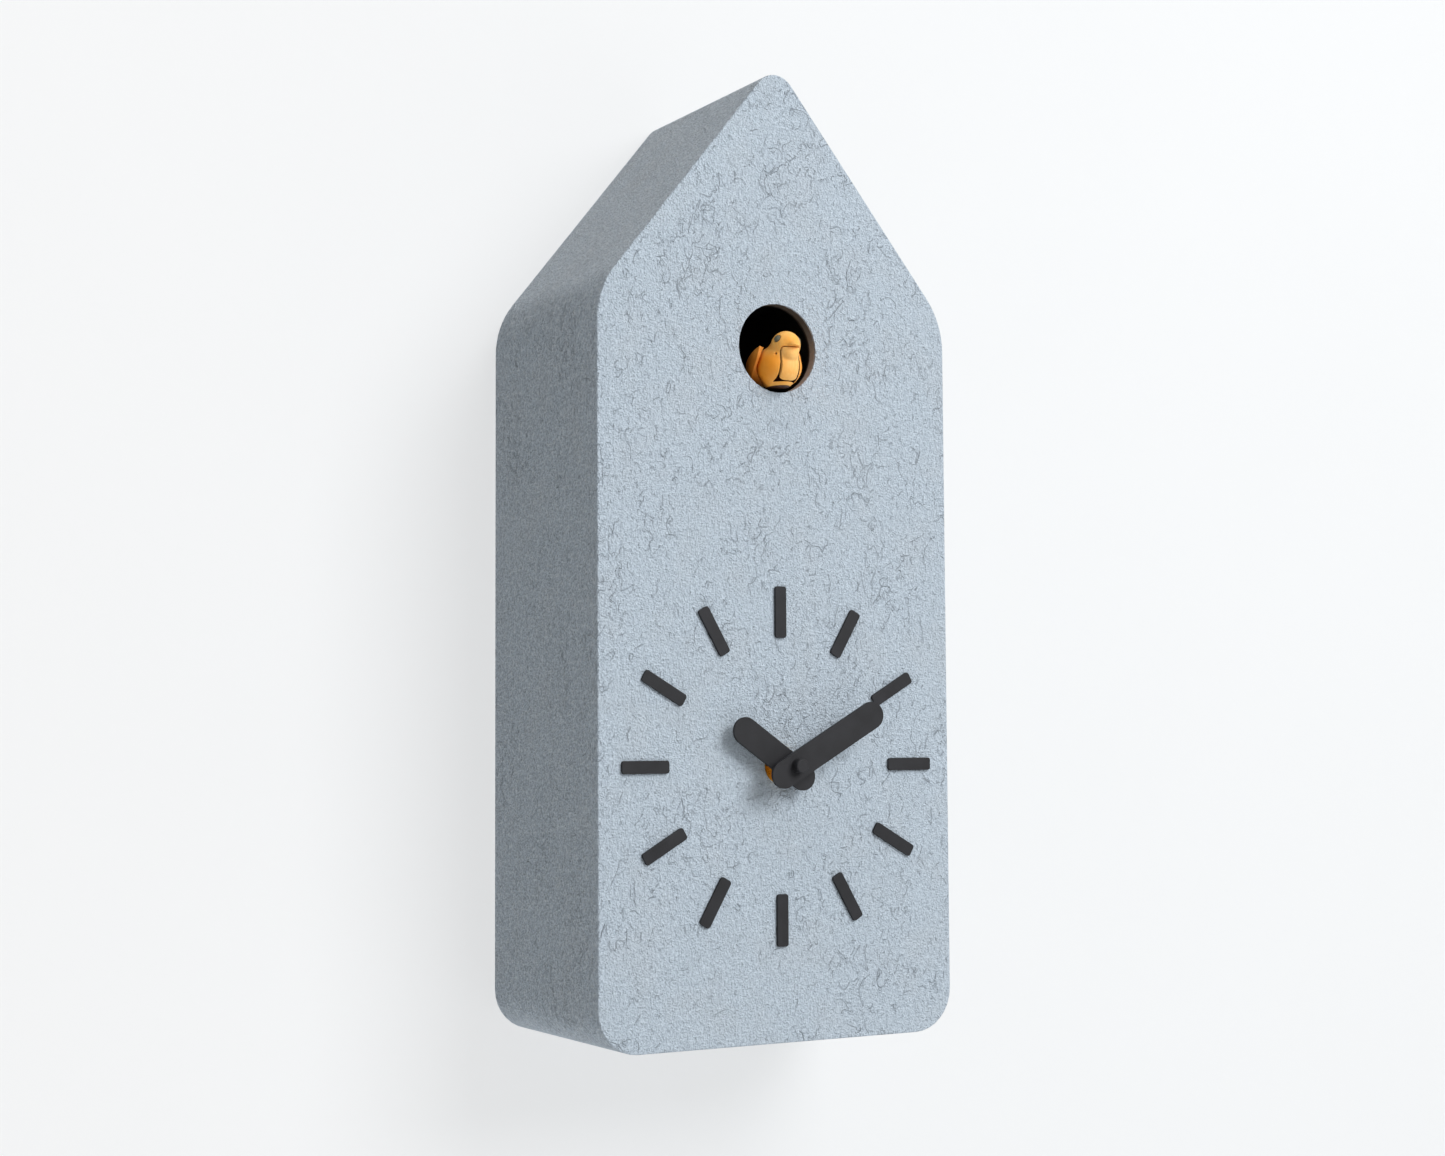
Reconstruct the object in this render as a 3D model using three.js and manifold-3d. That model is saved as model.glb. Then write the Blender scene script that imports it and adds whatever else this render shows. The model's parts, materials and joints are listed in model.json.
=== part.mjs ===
// Wall cuckoo clock: house-shaped case, hour bars, two hands, quartz movement and a sliding bird.
// Millimetres, +Z up, the front faces -Y, the wall is the plane Y = 0, the origin is where it hangs.
import * as THREE from "three";
import { mergeVertices } from "three/addons/utils/BufferGeometryUtils.js";
import Module from "manifold-3d";

const wasm = await Module();
wasm.setup();

// ---- driving dimensions -------------------------------------------------------------------------

// case
const caseWidth = 170;
const caseDepth = 100;
const eaveHeight = 308;
const roofSlope = 1.24;
const baseRadius = 18;
const eaveRadius = 37;
const ridgeRadius = 10;
const coveringThickness = 1;
const glueLine = 0.05;
const boardThickness = 12;
const frontPanelThickness = 5;
const backPanelThickness = 4;
const backPanelRecess = 2;
const rebateWidth = 6;
const panelClearance = 0.3;

// window, speaker grille and hanger in the back panel
const windowWidth = 118;
const windowHeight = 92;
const windowRadius = 6;
const windowRise = 4;
const speakerHeight = 44;
const speakerRadius = 27;
const speakerDepth = 13;
const magnetRadius = 14;
const magnetDepth = 8;
const basketSheet = 1.5;
const coneRadius = 20.8;
const coneDepth = 5.4;
const dustCapRadius = 7;
const dustCapRise = 1.8;
const paperThickness = 0.8;
const grilleSlotWidth = 3;
const grilleSlotRadius = 1.4;
const grilleSlotPitch = 6;
const grilleRadius = 19;
const hangerDrop = 63.4;
const hangerPlateWidth = 44;
const hangerPlateHeight = 34;
const hangerPlateThickness = 1.5;
const hangerPlateRadius = 5;
const hangerScrewInset = 6;
const hangerScrewHead = 0.45;
const hangerRelief = 3;
const keyholeRadius = 4.5;
const keyholeSlotRadius = 2.3;
const keyholeDrop = 11;
const screwRadius = 1.5;
const screwLength = 12;
const screwHeadRadius = 3;
const screwHeadHeight = 1.6;
const screwCrown = 0.7;
const screwSlot = 0.8;
const lowerScrewHeight = 40;
const upperScrewHeight = 268;

// dial
const dialHeight = 114.5;
const barCount = 12;
const barLength = 21.6;
const barWidth = 5.3;
const barThickness = 1.3;
const dialMargin = 10.2;
const barCornerRadius = 1;

// hands
const handWidth = 11.5;
const handThickness = 1.4;
const hourHandLength = 31;
const hourHandTail = 13.9;
const hourHandStand = 6;
const hourHandAngle = 304.8;
const minuteHandLength = 47.8;
const minuteHandTail = 13;
const minuteHandStand = 12.6;
const minuteHandAngle = 60.5;
const capRadius = 3;
const capLength = 4;
const capEdge = 0.4;
const hourBossWall = 1.4;
const hourBossGap = 0.5;
const minuteBossWall = 1.1;
const minuteBossLength = 2.5;

// movement
const shellWall = 2;
const shellRadius = 4;
const frontShellDepth = 12;
const rearShellDepth = 18;
const movementHeight = 74;
const gearRoomLeft = 26;
const gearRoomRight = 22;
const cellRadius = 7.25;
const cellLength = 50.5;
const cellEdge = 0.6;
const cellButtonRadius = 2.7;
const cellButtonLength = 1.4;
const cellClearance = 0.4;
const contactRoom = 2.5;
const lidThickness = 2.2;
const lidMargin = 1.5;
const lidPinRadius = 1;
const lidBarrel = 1.4;
const lidPivotRise = 2.2;
const lidEar = 2;
const lidEarWall = 0.9;
const lidEarSkin = 0.5;
const lidEarInset = 0.2;
const gripWidth = 14;
const gripHeight = 4;
const gripRise = 1.4;
const bushingRadius = 4.8;
const bushingLength = 3.9;
const washerRadius = 7.8;
const washerThickness = 0.6;
const nutWidth = 12.5;
const nutThickness = 2.6;
const hourTubeRadius = 3.4;
const arborRadius = 2.3;
const arborTipRadius = 1.5;
const arborRearRadius = 1.9;
const knobRadius = 8;
const knobHeight = 6;
const knobFlutes = 14;
const knobBlindEnd = 1.5;
const volumeKnobRadius = 6;
const volumeKnobHeight = 4.5;
const volumeStemReach = 3;
const volumeMarkWidth = 1.2;
const controlOffset = 15;
const volumeKnobDrop = 21;
const switchRise = 21;
const switchTravel = 2;
const switchStem = 2.6;
const switchProud = 2.4;
const switchPad = 1.2;

// motion work: the hands are geared 12 to 1 through a reversing wheel
const minutePinionTeeth = 12;
const reverserTeeth = 36;
const reverserPinionTeeth = 10;
const hourWheelTeeth = 40;
const minuteModule = 0.5;
const gearThickness = 1.6;
const gearGap = 0.6;
const reverserPostRadius = 1;
const toothShare = 0.84;

// bird drive
const holeHeight = 290;
const holeRadius = 18.9;
const tunnelWall = 2;
const tunnelLength = 66;
const tunnelSide = 2.1;
const tunnelFloorDrop = 7;
const tunnelHeadroom = 3;
const tunnelRadius = 3;
const flangeReach = 7;
const flangeDrop = 6;
const rackSlotEnd = 3;
const axleEarHalf = 5;
const axleEarThickness = 2;
const axleEarDrop = 4;
const axleEarOffset = 6;
const railHeight = 6;
const railThickness = 2;
const railLip = 3;
const lipThickness = 1.4;
const carriageWidth = 29.4;
const carriageThickness = 4.3;
const carriageLength = 34;
const carriageBack = 40;
const rackModule = 0.8;
const rackWidth = 4;
const rackMargin = 1.5;
const rackDrop = 1.6;
const rackRootShare = 0.54;
const rackTipShare = 0.2;
const rackBacklash = 0.1;
const postWidth = 6;
const postLength = 8;
const postInset = 4;
const drivePinionTeeth = 12;
const driveWheelTeeth = 36;
const driveModule = 0.5;
const motorPinionTeeth = 10;
const motorRadius = 7.5;
const motorLength = 17;
const motorAngle = -32;
const motorBossRadius = 2.6;
const motorBossLength = 1.2;
const motorShaftReach = 4;
const wheelGap = 1.2;
const wheelThickness = 2;
const pinionOverlap = 0.4;
const axleRadius = 1.5;
const motorShaftRadius = 1;
const birdTravelOut = 16;
const birdTravelIn = 10;

// bird: each form is an ellipsoid, placed from the front face and the middle of the hole
const chest = { halfWidth: 9.2, halfLength: 10.3, halfHeight: 8.9, forward: 1.4, rise: -8.3, tilt: 0 };
const shoulders = { halfWidth: 8.6, halfLength: 11, halfHeight: 6.6, forward: -1, rise: -5.6, tilt: -8 };
const rump = { halfWidth: 7.4, halfLength: 11.5, halfHeight: 5.4, forward: -9.5, rise: -8.8, tilt: -14 };
const tail = { halfWidth: 4.6, halfLength: 8.5, halfHeight: 1.7, forward: -18, rise: -10.6, tilt: -16 };
const head = { halfWidth: 6.2, halfLength: 6.2, halfHeight: 6.2, forward: 6.7, rise: 0.2, tilt: 0 };
const neck = { halfWidth: 7.6, halfLength: 8.6, halfHeight: 5.8, forward: 3, rise: -5, tilt: 0 };
const upperBeak = { halfWidth: 3.2, halfLength: 7.2, halfHeight: 3.3, forward: 9.8, rise: -0.6, tilt: 8 };
const lowerBill = { halfWidth: 3.2, halfLength: 5.2, halfHeight: 3, forward: 8.6, rise: -3.2, tilt: 0 };
const hookForward = 16;
const mouthDrop = 1.9;
const throatHalfWidth = 4.4;
const throatLength = 13.2;
const throatGap = 0.5;
const throatThickness = 1.8;
const throatRoom = 4.2;
const beakPinRadius = 0.5;
const beakPinHalf = 5.3;
const beakBossWall = 1;
const beakPinForward = 7.9;
const beakPinDrop = 3.9;
const footDrop = 16.8;
const eyeRadius = 1.45;
const eyeProud = 0.25;
const eyeLength = 2;
const eyeTurn = 65;
const eyeLift = 25;
const wing = { halfWidth: 11.2, halfLength: 17, halfHeight: 13, forward: -5, rise: -7, tilt: 0 };
const wingRoot = 3.5;
// the wing from the side: forward of the front face, and up from the middle of the hole
const wingOutline = {
  shoulder: [1.2, 0.4], heel: [-3.4, -10.8], tip: [-20, -11.6],
  frontBow: [5.2, -6.2], lowerBow: [-9, -14.4], upperBow: [-9.5, -0.6],
};
const rodRadius = 1.8;
const rodDepth = 7;

// fits; joined pieces sink into each other, and cutters run past what they cut
const runningFit = 0.05;
const slideFit = 0.3;
const seatGap = 0.3;
const sinkIn = 0.5;
const cutPast = 1;

// ---- places worked out from them ----------------------------------------------------------------

const barInnerRadius = caseWidth / 2 - dialMargin - barLength;
const front = -caseDepth;
const boardFront = front + coveringThickness + glueLine;
const panelBack = boardFront + frontPanelThickness;
const backPanelFront = -backPanelRecess - backPanelThickness;
const boardInset = coveringThickness + glueLine;
const innerInset = boardInset + boardThickness;
const rebateInset = innerInset - rebateWidth;
const roofStretch = Math.hypot(1, roofSlope);
const ridgeHeight = eaveHeight + roofSlope * caseWidth / 2;
const hangerHeight = ridgeHeight - hangerDrop;
const shellJoint = panelBack + frontShellDepth;
const movementBack = shellJoint + rearShellDepth;
const bayLeft = gearRoomRight + shellWall;
const bayWidth = 4 * cellRadius + 3 * cellClearance;
const bayRight = bayLeft + bayWidth;
const bayHeight = cellLength + 2 * contactRoom;
const bayDepth = 2 * cellRadius + 2 * cellClearance;
const bayMiddle = (bayLeft + bayRight) / 2;
const lidHalf = bayWidth / 2 + lidMargin;
const lidEarOuter = lidHalf + seatGap + lidEar;
const lidPinHoleHalf = lidEarOuter - lidEarSkin;
const lidPivotY = movementBack + lidBarrel + seatGap;
const lidPivotZ = dialHeight + bayHeight / 2 + lidPivotRise;
const movementLeft = -gearRoomLeft - shellWall;
const movementRight = bayMiddle + lidEarOuter + lidEarInset;
const movementBottom = dialHeight - movementHeight / 2;
const movementTop = dialHeight + movementHeight / 2;
const reverserRise = (minutePinionTeeth + reverserTeeth) * minuteModule / 2;
const hourModule = 2 * reverserRise / (reverserPinionTeeth + hourWheelTeeth);
const hourWheelFront = panelBack + shellWall + gearGap;
const reverserFront = hourWheelFront + gearThickness + gearGap;
const hourBoss = hourHandStand - bushingLength - hourBossGap;
const arborTip = front - minuteHandStand - handThickness - capLength / 2;
const windowBottom = dialHeight - windowHeight / 2 + windowRise;
const hangerPlateMiddle = hangerHeight - keyholeDrop / 2;
const screwInset = (rebateInset + innerInset) / 2;
const tunnelHalf = holeRadius + tunnelSide;
const outerWall = tunnelHalf + tunnelWall;
const floorTop = holeHeight - holeRadius - tunnelFloorDrop;
const floorBottom = floorTop - tunnelWall;
const tunnelTop = holeHeight + tunnelHalf + tunnelHeadroom;
const tunnelBack = panelBack + tunnelLength;
const railInner = carriageWidth / 2 + slideFit;
const carriageRear = -carriageBack;
const carriageFront = carriageRear - carriageLength;
const rackPitchZ = floorTop + slideFit - rackDrop * rackModule;
const axleZ = rackPitchZ - drivePinionTeeth * rackModule / 2 - rackBacklash;
const axleY = carriageRear - (carriageLength + birdTravelOut - birdTravelIn) / 2;
const gearSpacing = (driveWheelTeeth + motorPinionTeeth) * driveModule / 2;
const motorY = axleY + gearSpacing * Math.cos(THREE.MathUtils.degToRad(motorAngle));
const motorZ = axleZ + gearSpacing * Math.sin(THREE.MathUtils.degToRad(motorAngle));
const wheelX = outerWall + wheelGap;
const leftEar = -rackWidth / 2 - axleEarOffset;
const rodHeight = holeHeight + chest.rise;
const rodTip = front - chest.forward + chest.halfLength - rodDepth;
const beakPinY = front - beakPinForward;
const beakPinZ = holeHeight - beakPinDrop;
const mouthZ = holeHeight - mouthDrop;

// ---- solids -------------------------------------------------------------------------------------

const v2 = (x, y) => new THREE.Vector2(x, y);
const radians = THREE.MathUtils.degToRad;

// A closed geometry as a solid, with its faces turned outwards.
function solid(geometry) {
  const bare = geometry.clone();
  bare.deleteAttribute("normal");
  bare.deleteAttribute("uv");
  const merged = mergeVertices(bare, 1e-4);
  const points = merged.attributes.position.array;
  const corners = Array.from(merged.index.array);
  const kept = [];
  for (let i = 0; i < corners.length; i += 3) {
    const [a, b, c] = corners.slice(i, i + 3);
    if (a !== b && b !== c && c !== a) kept.push([a, b, c]);
  }
  const at = (i) => new THREE.Vector3().fromArray(points, 3 * i);
  const volume = kept.reduce((sum, [a, b, c]) => sum + at(a).dot(at(b).cross(at(c))), 0);
  const faces = volume > 0 ? kept : kept.map(([a, b, c]) => [a, c, b]);
  return new wasm.Manifold(new wasm.Mesh({
    numProp: 3, vertProperties: new Float32Array(points), triVerts: new Uint32Array(faces.flat()),
  }));
}

function geometryOf(shape) {
  const mesh = shape.getMesh();
  const geometry = new THREE.BufferGeometry();
  geometry.setAttribute("position", new THREE.BufferAttribute(new Float32Array(mesh.vertProperties), 3));
  geometry.setIndex(new THREE.BufferAttribute(new Uint32Array(mesh.triVerts), 1));
  geometry.computeVertexNormals();
  return geometry;
}

// A shape drawn as seen from the front, in X and Z, between two depths.
function plate(shape, fromY, toY, curveSegments = 4) {
  const geometry = new THREE.ExtrudeGeometry(shape, { depth: toY - fromY, bevelEnabled: false, curveSegments });
  return solid(geometry.rotateX(Math.PI / 2).translate(0, toY, 0));
}

function block(fromX, toX, fromY, toY, fromZ, toZ) {
  const geometry = new THREE.BoxGeometry(toX - fromX, toY - fromY, toZ - fromZ);
  return solid(geometry.translate((fromX + toX) / 2, (fromY + toY) / 2, (fromZ + toZ) / 2));
}

// A profile of radius and Y, turned about a line along Y that passes through x and z.
function turned(profile, x, z, sides = 24) {
  const closed = [...profile, profile[0]].map(([r, y]) => v2(r, y));
  return solid(new THREE.LatheGeometry(closed, sides).translate(x, 0, z));
}

function rod(radius, fromY, toY, x, z, sides = 24) {
  const geometry = new THREE.CylinderGeometry(radius, radius, toY - fromY, sides);
  return solid(geometry.translate(x, (fromY + toY) / 2, z));
}

function crossRod(radius, fromX, toX, y, z, sides = 20) {
  const geometry = new THREE.CylinderGeometry(radius, radius, toX - fromX, sides);
  return solid(geometry.rotateZ(Math.PI / 2).translate((fromX + toX) / 2, y, z));
}

function ellipsoid(halfX, halfY, halfZ, x, y, z, across = 18, along = 11) {
  const geometry = new THREE.SphereGeometry(1, across, along).rotateX(Math.PI / 2);
  return solid(geometry.scale(halfX, halfY, halfZ).translate(x, y, z));
}

// Corners joined by straight lines, each rounded by its own radius.
function rounded(corners, radii) {
  const path = new THREE.Shape();
  corners.forEach((corner, i) => {
    const back = corners.at(i - 1).clone().sub(corner).normalize();
    const on = corners[(i + 1) % corners.length].clone().sub(corner).normalize();
    const radius = Math.max(radii[i], 0);
    if (radius === 0) {
      if (i === 0) path.moveTo(corner.x, corner.y);
      else path.lineTo(corner.x, corner.y);
      return;
    }
    const half = Math.acos(back.dot(on)) / 2;
    const middle = back.clone().add(on).normalize();
    const centre = middle.multiplyScalar(radius / Math.sin(half)).add(corner);
    const start = back.clone().multiplyScalar(radius / Math.tan(half)).add(corner).sub(centre);
    const end = on.clone().multiplyScalar(radius / Math.tan(half)).add(corner).sub(centre);
    path.absarc(centre.x, centre.y, radius, start.angle(), end.angle(), back.cross(on) > 0);
  });
  return path;
}

function rectangle(fromX, toX, fromZ, toZ, radius = 0) {
  const corners = [v2(fromX, fromZ), v2(toX, fromZ), v2(toX, toZ), v2(fromX, toZ)];
  return rounded(corners, [radius, radius, radius, radius]);
}

function circle(radius, x, z) {
  return new THREE.Shape().absarc(x, z, radius, 0, 2 * Math.PI);
}

// Teeth with straight flanks; tipEase and rootGrowth are shares of the module.
function gearOutline(teeth, module, phase, { addendum, dedendum, tipEase, rootGrowth }) {
  const pitch = teeth * module / 2;
  const tip = pitch + addendum * module;
  const root = pitch - dedendum * module;
  const half = toothShare * Math.PI / (2 * teeth);
  const tipHalf = half - tipEase * module / pitch;
  const rootHalf = half + rootGrowth * module / pitch;
  const points = [];
  for (let i = 0; i < teeth; i += 1) {
    const middle = phase + 2 * Math.PI * i / teeth;
    for (const [radius, turn] of [[root, -rootHalf], [tip, -tipHalf], [tip, tipHalf], [root, rootHalf]]) {
      points.push(v2(radius * Math.cos(middle + turn), radius * Math.sin(middle + turn)));
    }
  }
  return new THREE.Shape(points);
}

const wheelTooth = { addendum: 0.8, dedendum: 1.1, tipEase: 0.3, rootGrowth: 0.12 };
const pinionTooth = { addendum: 0.7, dedendum: 1.1, tipEase: 0.28, rootGrowth: 0 };
const fluteTooth = { addendum: 0.8, dedendum: 0.1, tipEase: 0.4, rootGrowth: 0 };

// Two gears mesh when one points a tooth and the other a gap along the line between them.
const toothAt = (direction) => direction;
const gapAt = (direction, teeth) => direction + Math.PI + Math.PI / teeth;

// ---- finishes -----------------------------------------------------------------------------------

const finishes = {
  plaster: { color: 0xb9c3cb, roughness: 0.85, metalness: 0 },
  board: { color: 0x8a735c, roughness: 0.9, metalness: 0 },
  charcoal: { color: 0x3f4247, roughness: 0.7, metalness: 0 },
  brass: { color: 0xc8912e, roughness: 0.3, metalness: 1 },
  steel: { color: 0x9a9c9f, roughness: 0.35, metalness: 1 },
  blackPlastic: { color: 0x1b1c1e, roughness: 0.5, metalness: 0 },
  greyPlastic: { color: 0x54585c, roughness: 0.5, metalness: 0 },
  whitePlastic: { color: 0xe8e6df, roughness: 0.45, metalness: 0 },
  birdWood: { color: 0xe0933a, roughness: 0.55, metalness: 0 },
  wingWood: { color: 0xc9772a, roughness: 0.6, metalness: 0 },
  eye: { color: 0x4b4038, roughness: 0.25, metalness: 0 },
  paper: { color: 0x232323, roughness: 0.8, metalness: 0 },
  cell: { color: 0x2f5a7a, roughness: 0.35, metalness: 0.3 },
};

const clock = new THREE.Group();
clock.position.z = -hangerHeight;

function part(name, shape, finish) {
  const mesh = new THREE.Mesh(geometryOf(shape), new THREE.MeshStandardMaterial(finishes[finish]));
  mesh.name = name;
  clock.add(mesh);
}

// ---- case ---------------------------------------------------------------------------------------

// The five corners of the house outline, moved inwards, from the lower left round to the left eave.
function houseCorners(inset) {
  const side = caseWidth / 2 - inset;
  const ridge = ridgeHeight - inset * roofStretch;
  const eave = ridge - roofSlope * side;
  return [v2(-side, inset), v2(side, inset), v2(side, eave), v2(0, ridge), v2(-side, eave)];
}

function houseOutline(inset) {
  const radii = [baseRadius, baseRadius, eaveRadius, ridgeRadius, eaveRadius];
  return rounded(houseCorners(inset), radii.map((radius) => radius - inset));
}

const backScrews = [
  ["back_screw_lower_left", -1, lowerScrewHeight],
  ["back_screw_lower_right", 1, lowerScrewHeight],
  ["back_screw_upper_left", -1, upperScrewHeight],
  ["back_screw_upper_right", 1, upperScrewHeight],
].map(([name, side, height]) => ({ name, x: side * (caseWidth / 2 - screwInset), z: height }));

function screw(x, z, seat, length) {
  const profile = [[0, seat - length], [screwRadius, seat - length + screwRadius], [screwRadius, seat],
    [screwHeadRadius, seat], [screwHeadRadius, seat + screwHeadHeight / 2],
    [screwHeadRadius * screwCrown, seat + screwHeadHeight], [0, seat + screwHeadHeight]];
  const slot = block(x - screwHeadRadius, x + screwHeadRadius, seat + screwHeadHeight / 2,
    seat + 2 * screwHeadHeight, z - screwSlot / 2, z + screwSlot / 2);
  return turned(profile, x, z, 12).subtract(slot);
}

function boards() {
  const tube = plate(houseOutline(boardInset), boardFront, 0)
    .subtract(plate(houseOutline(innerInset), boardFront - cutPast, cutPast))
    .subtract(plate(houseOutline(rebateInset), backPanelFront, cutPast));
  const names = ["base_board", "right_side", "right_roof", "left_roof", "left_side"];
  names.forEach((name, i) => {
    const next = (i + 1) % names.length;
    const outer = houseCorners(-cutPast);
    const inner = houseCorners(innerInset + cutPast);
    const along = outer[next].clone().sub(outer[i]).normalize().multiplyScalar(glueLine / 2);
    const wedge = new THREE.Shape([
      outer[i].clone().add(along), outer[next].clone().sub(along),
      inner[next].clone().sub(along), inner[i].clone().add(along),
    ]);
    let board = tube.intersect(plate(wedge, boardFront - cutPast, cutPast));
    for (const { x, z } of backScrews) {
      board = board.subtract(rod(screwRadius + runningFit, backPanelFront - screwLength, cutPast, x, z, 12));
    }
    part(name, board, "board");
  });
}

const hangerScrews = [
  { name: "hanger_screw_left", x: -hangerPlateWidth / 2 + hangerScrewInset },
  { name: "hanger_screw_right", x: hangerPlateWidth / 2 - hangerScrewInset },
];

function panels() {
  const through = [front - cutPast, panelBack + cutPast];
  const hole = plate(circle(holeRadius, 0, holeHeight), ...through, 16);
  const bore = plate(circle(bushingRadius + seatGap, 0, dialHeight), ...through, 10);
  part("front_covering", plate(houseOutline(0), front, front + coveringThickness).subtract(hole).subtract(bore),
    "plaster");
  part("side_covering", plate(houseOutline(0), front + coveringThickness, 0)
    .subtract(plate(houseOutline(coveringThickness), front, cutPast)), "plaster");
  part("front_panel", plate(houseOutline(innerInset + glueLine), boardFront, panelBack)
    .subtract(hole).subtract(bore), "board");
}

function backPanel() {
  const through = [backPanelFront - cutPast, cutPast];
  let panel = plate(houseOutline(rebateInset + panelClearance), backPanelFront, -backPanelRecess);
  panel = panel.subtract(plate(rectangle(-windowWidth / 2, windowWidth / 2, windowBottom,
    windowBottom + windowHeight, windowRadius), ...through, 3));
  const slots = Math.floor(grilleRadius / grilleSlotPitch);
  for (let i = -slots; i <= slots; i += 1) {
    const x = i * grilleSlotPitch;
    const half = Math.sqrt(grilleRadius ** 2 - x ** 2);
    panel = panel.subtract(plate(rectangle(x - grilleSlotWidth / 2, x + grilleSlotWidth / 2,
      speakerHeight - half, speakerHeight + half, grilleSlotRadius), ...through, 1));
  }
  const relief = keyholeRadius + hangerRelief;
  panel = panel.subtract(plate(rectangle(-relief, relief, hangerHeight - keyholeDrop - relief,
    hangerHeight + relief, hangerRelief), ...through, 3));
  for (const { x, z } of backScrews) panel = panel.subtract(rod(screwRadius + runningFit, ...through, x, z, 12));
  for (const { x } of hangerScrews) {
    panel = panel.subtract(rod(screwRadius + runningFit, ...through, x, hangerPlateMiddle, 12));
  }
  part("back_panel", panel, "board");
  for (const { name, x, z } of backScrews) {
    part(name, screw(x, z, -backPanelRecess, backPanelThickness + screwLength - 2 * cutPast), "steel");
  }
}

// The screw in the wall enters the round opening and holds at the top of the slot.
function hanger() {
  const seat = -backPanelRecess;
  const keyhole = new THREE.Shape();
  const meet = Math.asin(keyholeSlotRadius / keyholeRadius);
  keyhole.absarc(0, hangerHeight - keyholeDrop, keyholeRadius, Math.PI / 2 + meet, Math.PI / 2 - meet + 2 * Math.PI);
  keyhole.absarc(0, hangerHeight, keyholeSlotRadius, 0, Math.PI);
  const outside = seat + hangerPlateThickness;
  const half = hangerPlateHeight / 2;
  let strap = plate(rectangle(-hangerPlateWidth / 2, hangerPlateWidth / 2, hangerPlateMiddle - half,
    hangerPlateMiddle + half, hangerPlateRadius), seat, outside, 4)
    .subtract(plate(keyhole, seat - cutPast, outside + cutPast, 8));
  for (const { x } of hangerScrews) {
    strap = strap.subtract(rod(screwRadius + runningFit, seat - cutPast, outside + cutPast, x, hangerPlateMiddle,
      12));
  }
  part("hanger_plate", strap, "steel");
  const tip = backPanelFront - screwRadius;
  for (const { name, x } of hangerScrews) {
    part(name, turned([[0, tip - screwRadius], [screwRadius, tip], [screwRadius, outside],
      [screwHeadRadius, outside], [screwHeadRadius * screwCrown, outside + hangerScrewHead],
      [0, outside + hangerScrewHead]], x, hangerPlateMiddle, 12), "steel");
  }
}

// ---- dial and hands -----------------------------------------------------------------------------

function hourBars() {
  for (let i = 1; i <= barCount; i += 1) {
    const outline = rectangle(-barWidth / 2, barWidth / 2, barInnerRadius, barInnerRadius + barLength,
      barCornerRadius);
    const bar = plate(outline, front - barThickness, front, 1).rotate([0, 360 * i / barCount, 0]);
    part(`hour_bar_${i}`, bar.translate([0, 0, dialHeight]), "charcoal");
  }
}

function hand(length, tail, stand, angle, boreRadius, bossRadius, bossLength) {
  const half = handWidth / 2;
  const outline = new THREE.Shape();
  outline.absarc(0, length - half, half, 0, Math.PI);
  outline.absarc(0, half - tail, half, Math.PI, 2 * Math.PI);
  const back = front - stand;
  return plate(outline, back - handThickness, back, 10)
    .rotate([0, angle, 0])
    .translate([0, 0, dialHeight])
    .add(rod(bossRadius, back - handThickness / 2, back + bossLength, 0, dialHeight))
    .subtract(rod(boreRadius, back - 2 * handThickness, back + bossLength + cutPast, 0, dialHeight));
}

function hands() {
  part("hour_hand", hand(hourHandLength, hourHandTail, hourHandStand, hourHandAngle,
    hourTubeRadius + runningFit, hourTubeRadius + hourBossWall, hourBoss), "charcoal");
  part("minute_hand", hand(minuteHandLength, minuteHandTail, minuteHandStand, minuteHandAngle,
    arborTipRadius + runningFit, arborRadius + minuteBossWall, minuteBossLength), "charcoal");
  const capBack = front - minuteHandStand - handThickness;
  part("hand_cap", turned([[0, capBack - capLength], [capRadius - capEdge, capBack - capLength],
    [capRadius, capBack - capLength + capEdge], [capRadius, capBack], [arborTipRadius + runningFit, capBack],
    [arborTipRadius + runningFit, arborTip - seatGap], [0, arborTip - seatGap]], 0, dialHeight), "charcoal");
}

// ---- movement -----------------------------------------------------------------------------------

function movementFrontShell() {
  const outer = plate(rectangle(movementLeft, movementRight, movementBottom, movementTop, shellRadius), panelBack,
    shellJoint, 4);
  const inner = plate(rectangle(movementLeft + shellWall, movementRight - shellWall, movementBottom + shellWall,
    movementTop - shellWall, shellRadius - shellWall), panelBack + shellWall, shellJoint + cutPast, 3);
  const bushing = rod(bushingRadius, front - bushingLength, panelBack + shellWall, 0, dialHeight);
  const post = rod(reverserPostRadius, panelBack + shellWall / 2, shellJoint - gearGap, 0,
    dialHeight + reverserRise, 20);
  part("movement_front_shell", outer.subtract(inner).add(bushing).add(post)
    .subtract(rod(hourTubeRadius + runningFit, front - bushingLength - cutPast, hourWheelFront, 0, dialHeight)),
  "blackPlastic");
}

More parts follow.
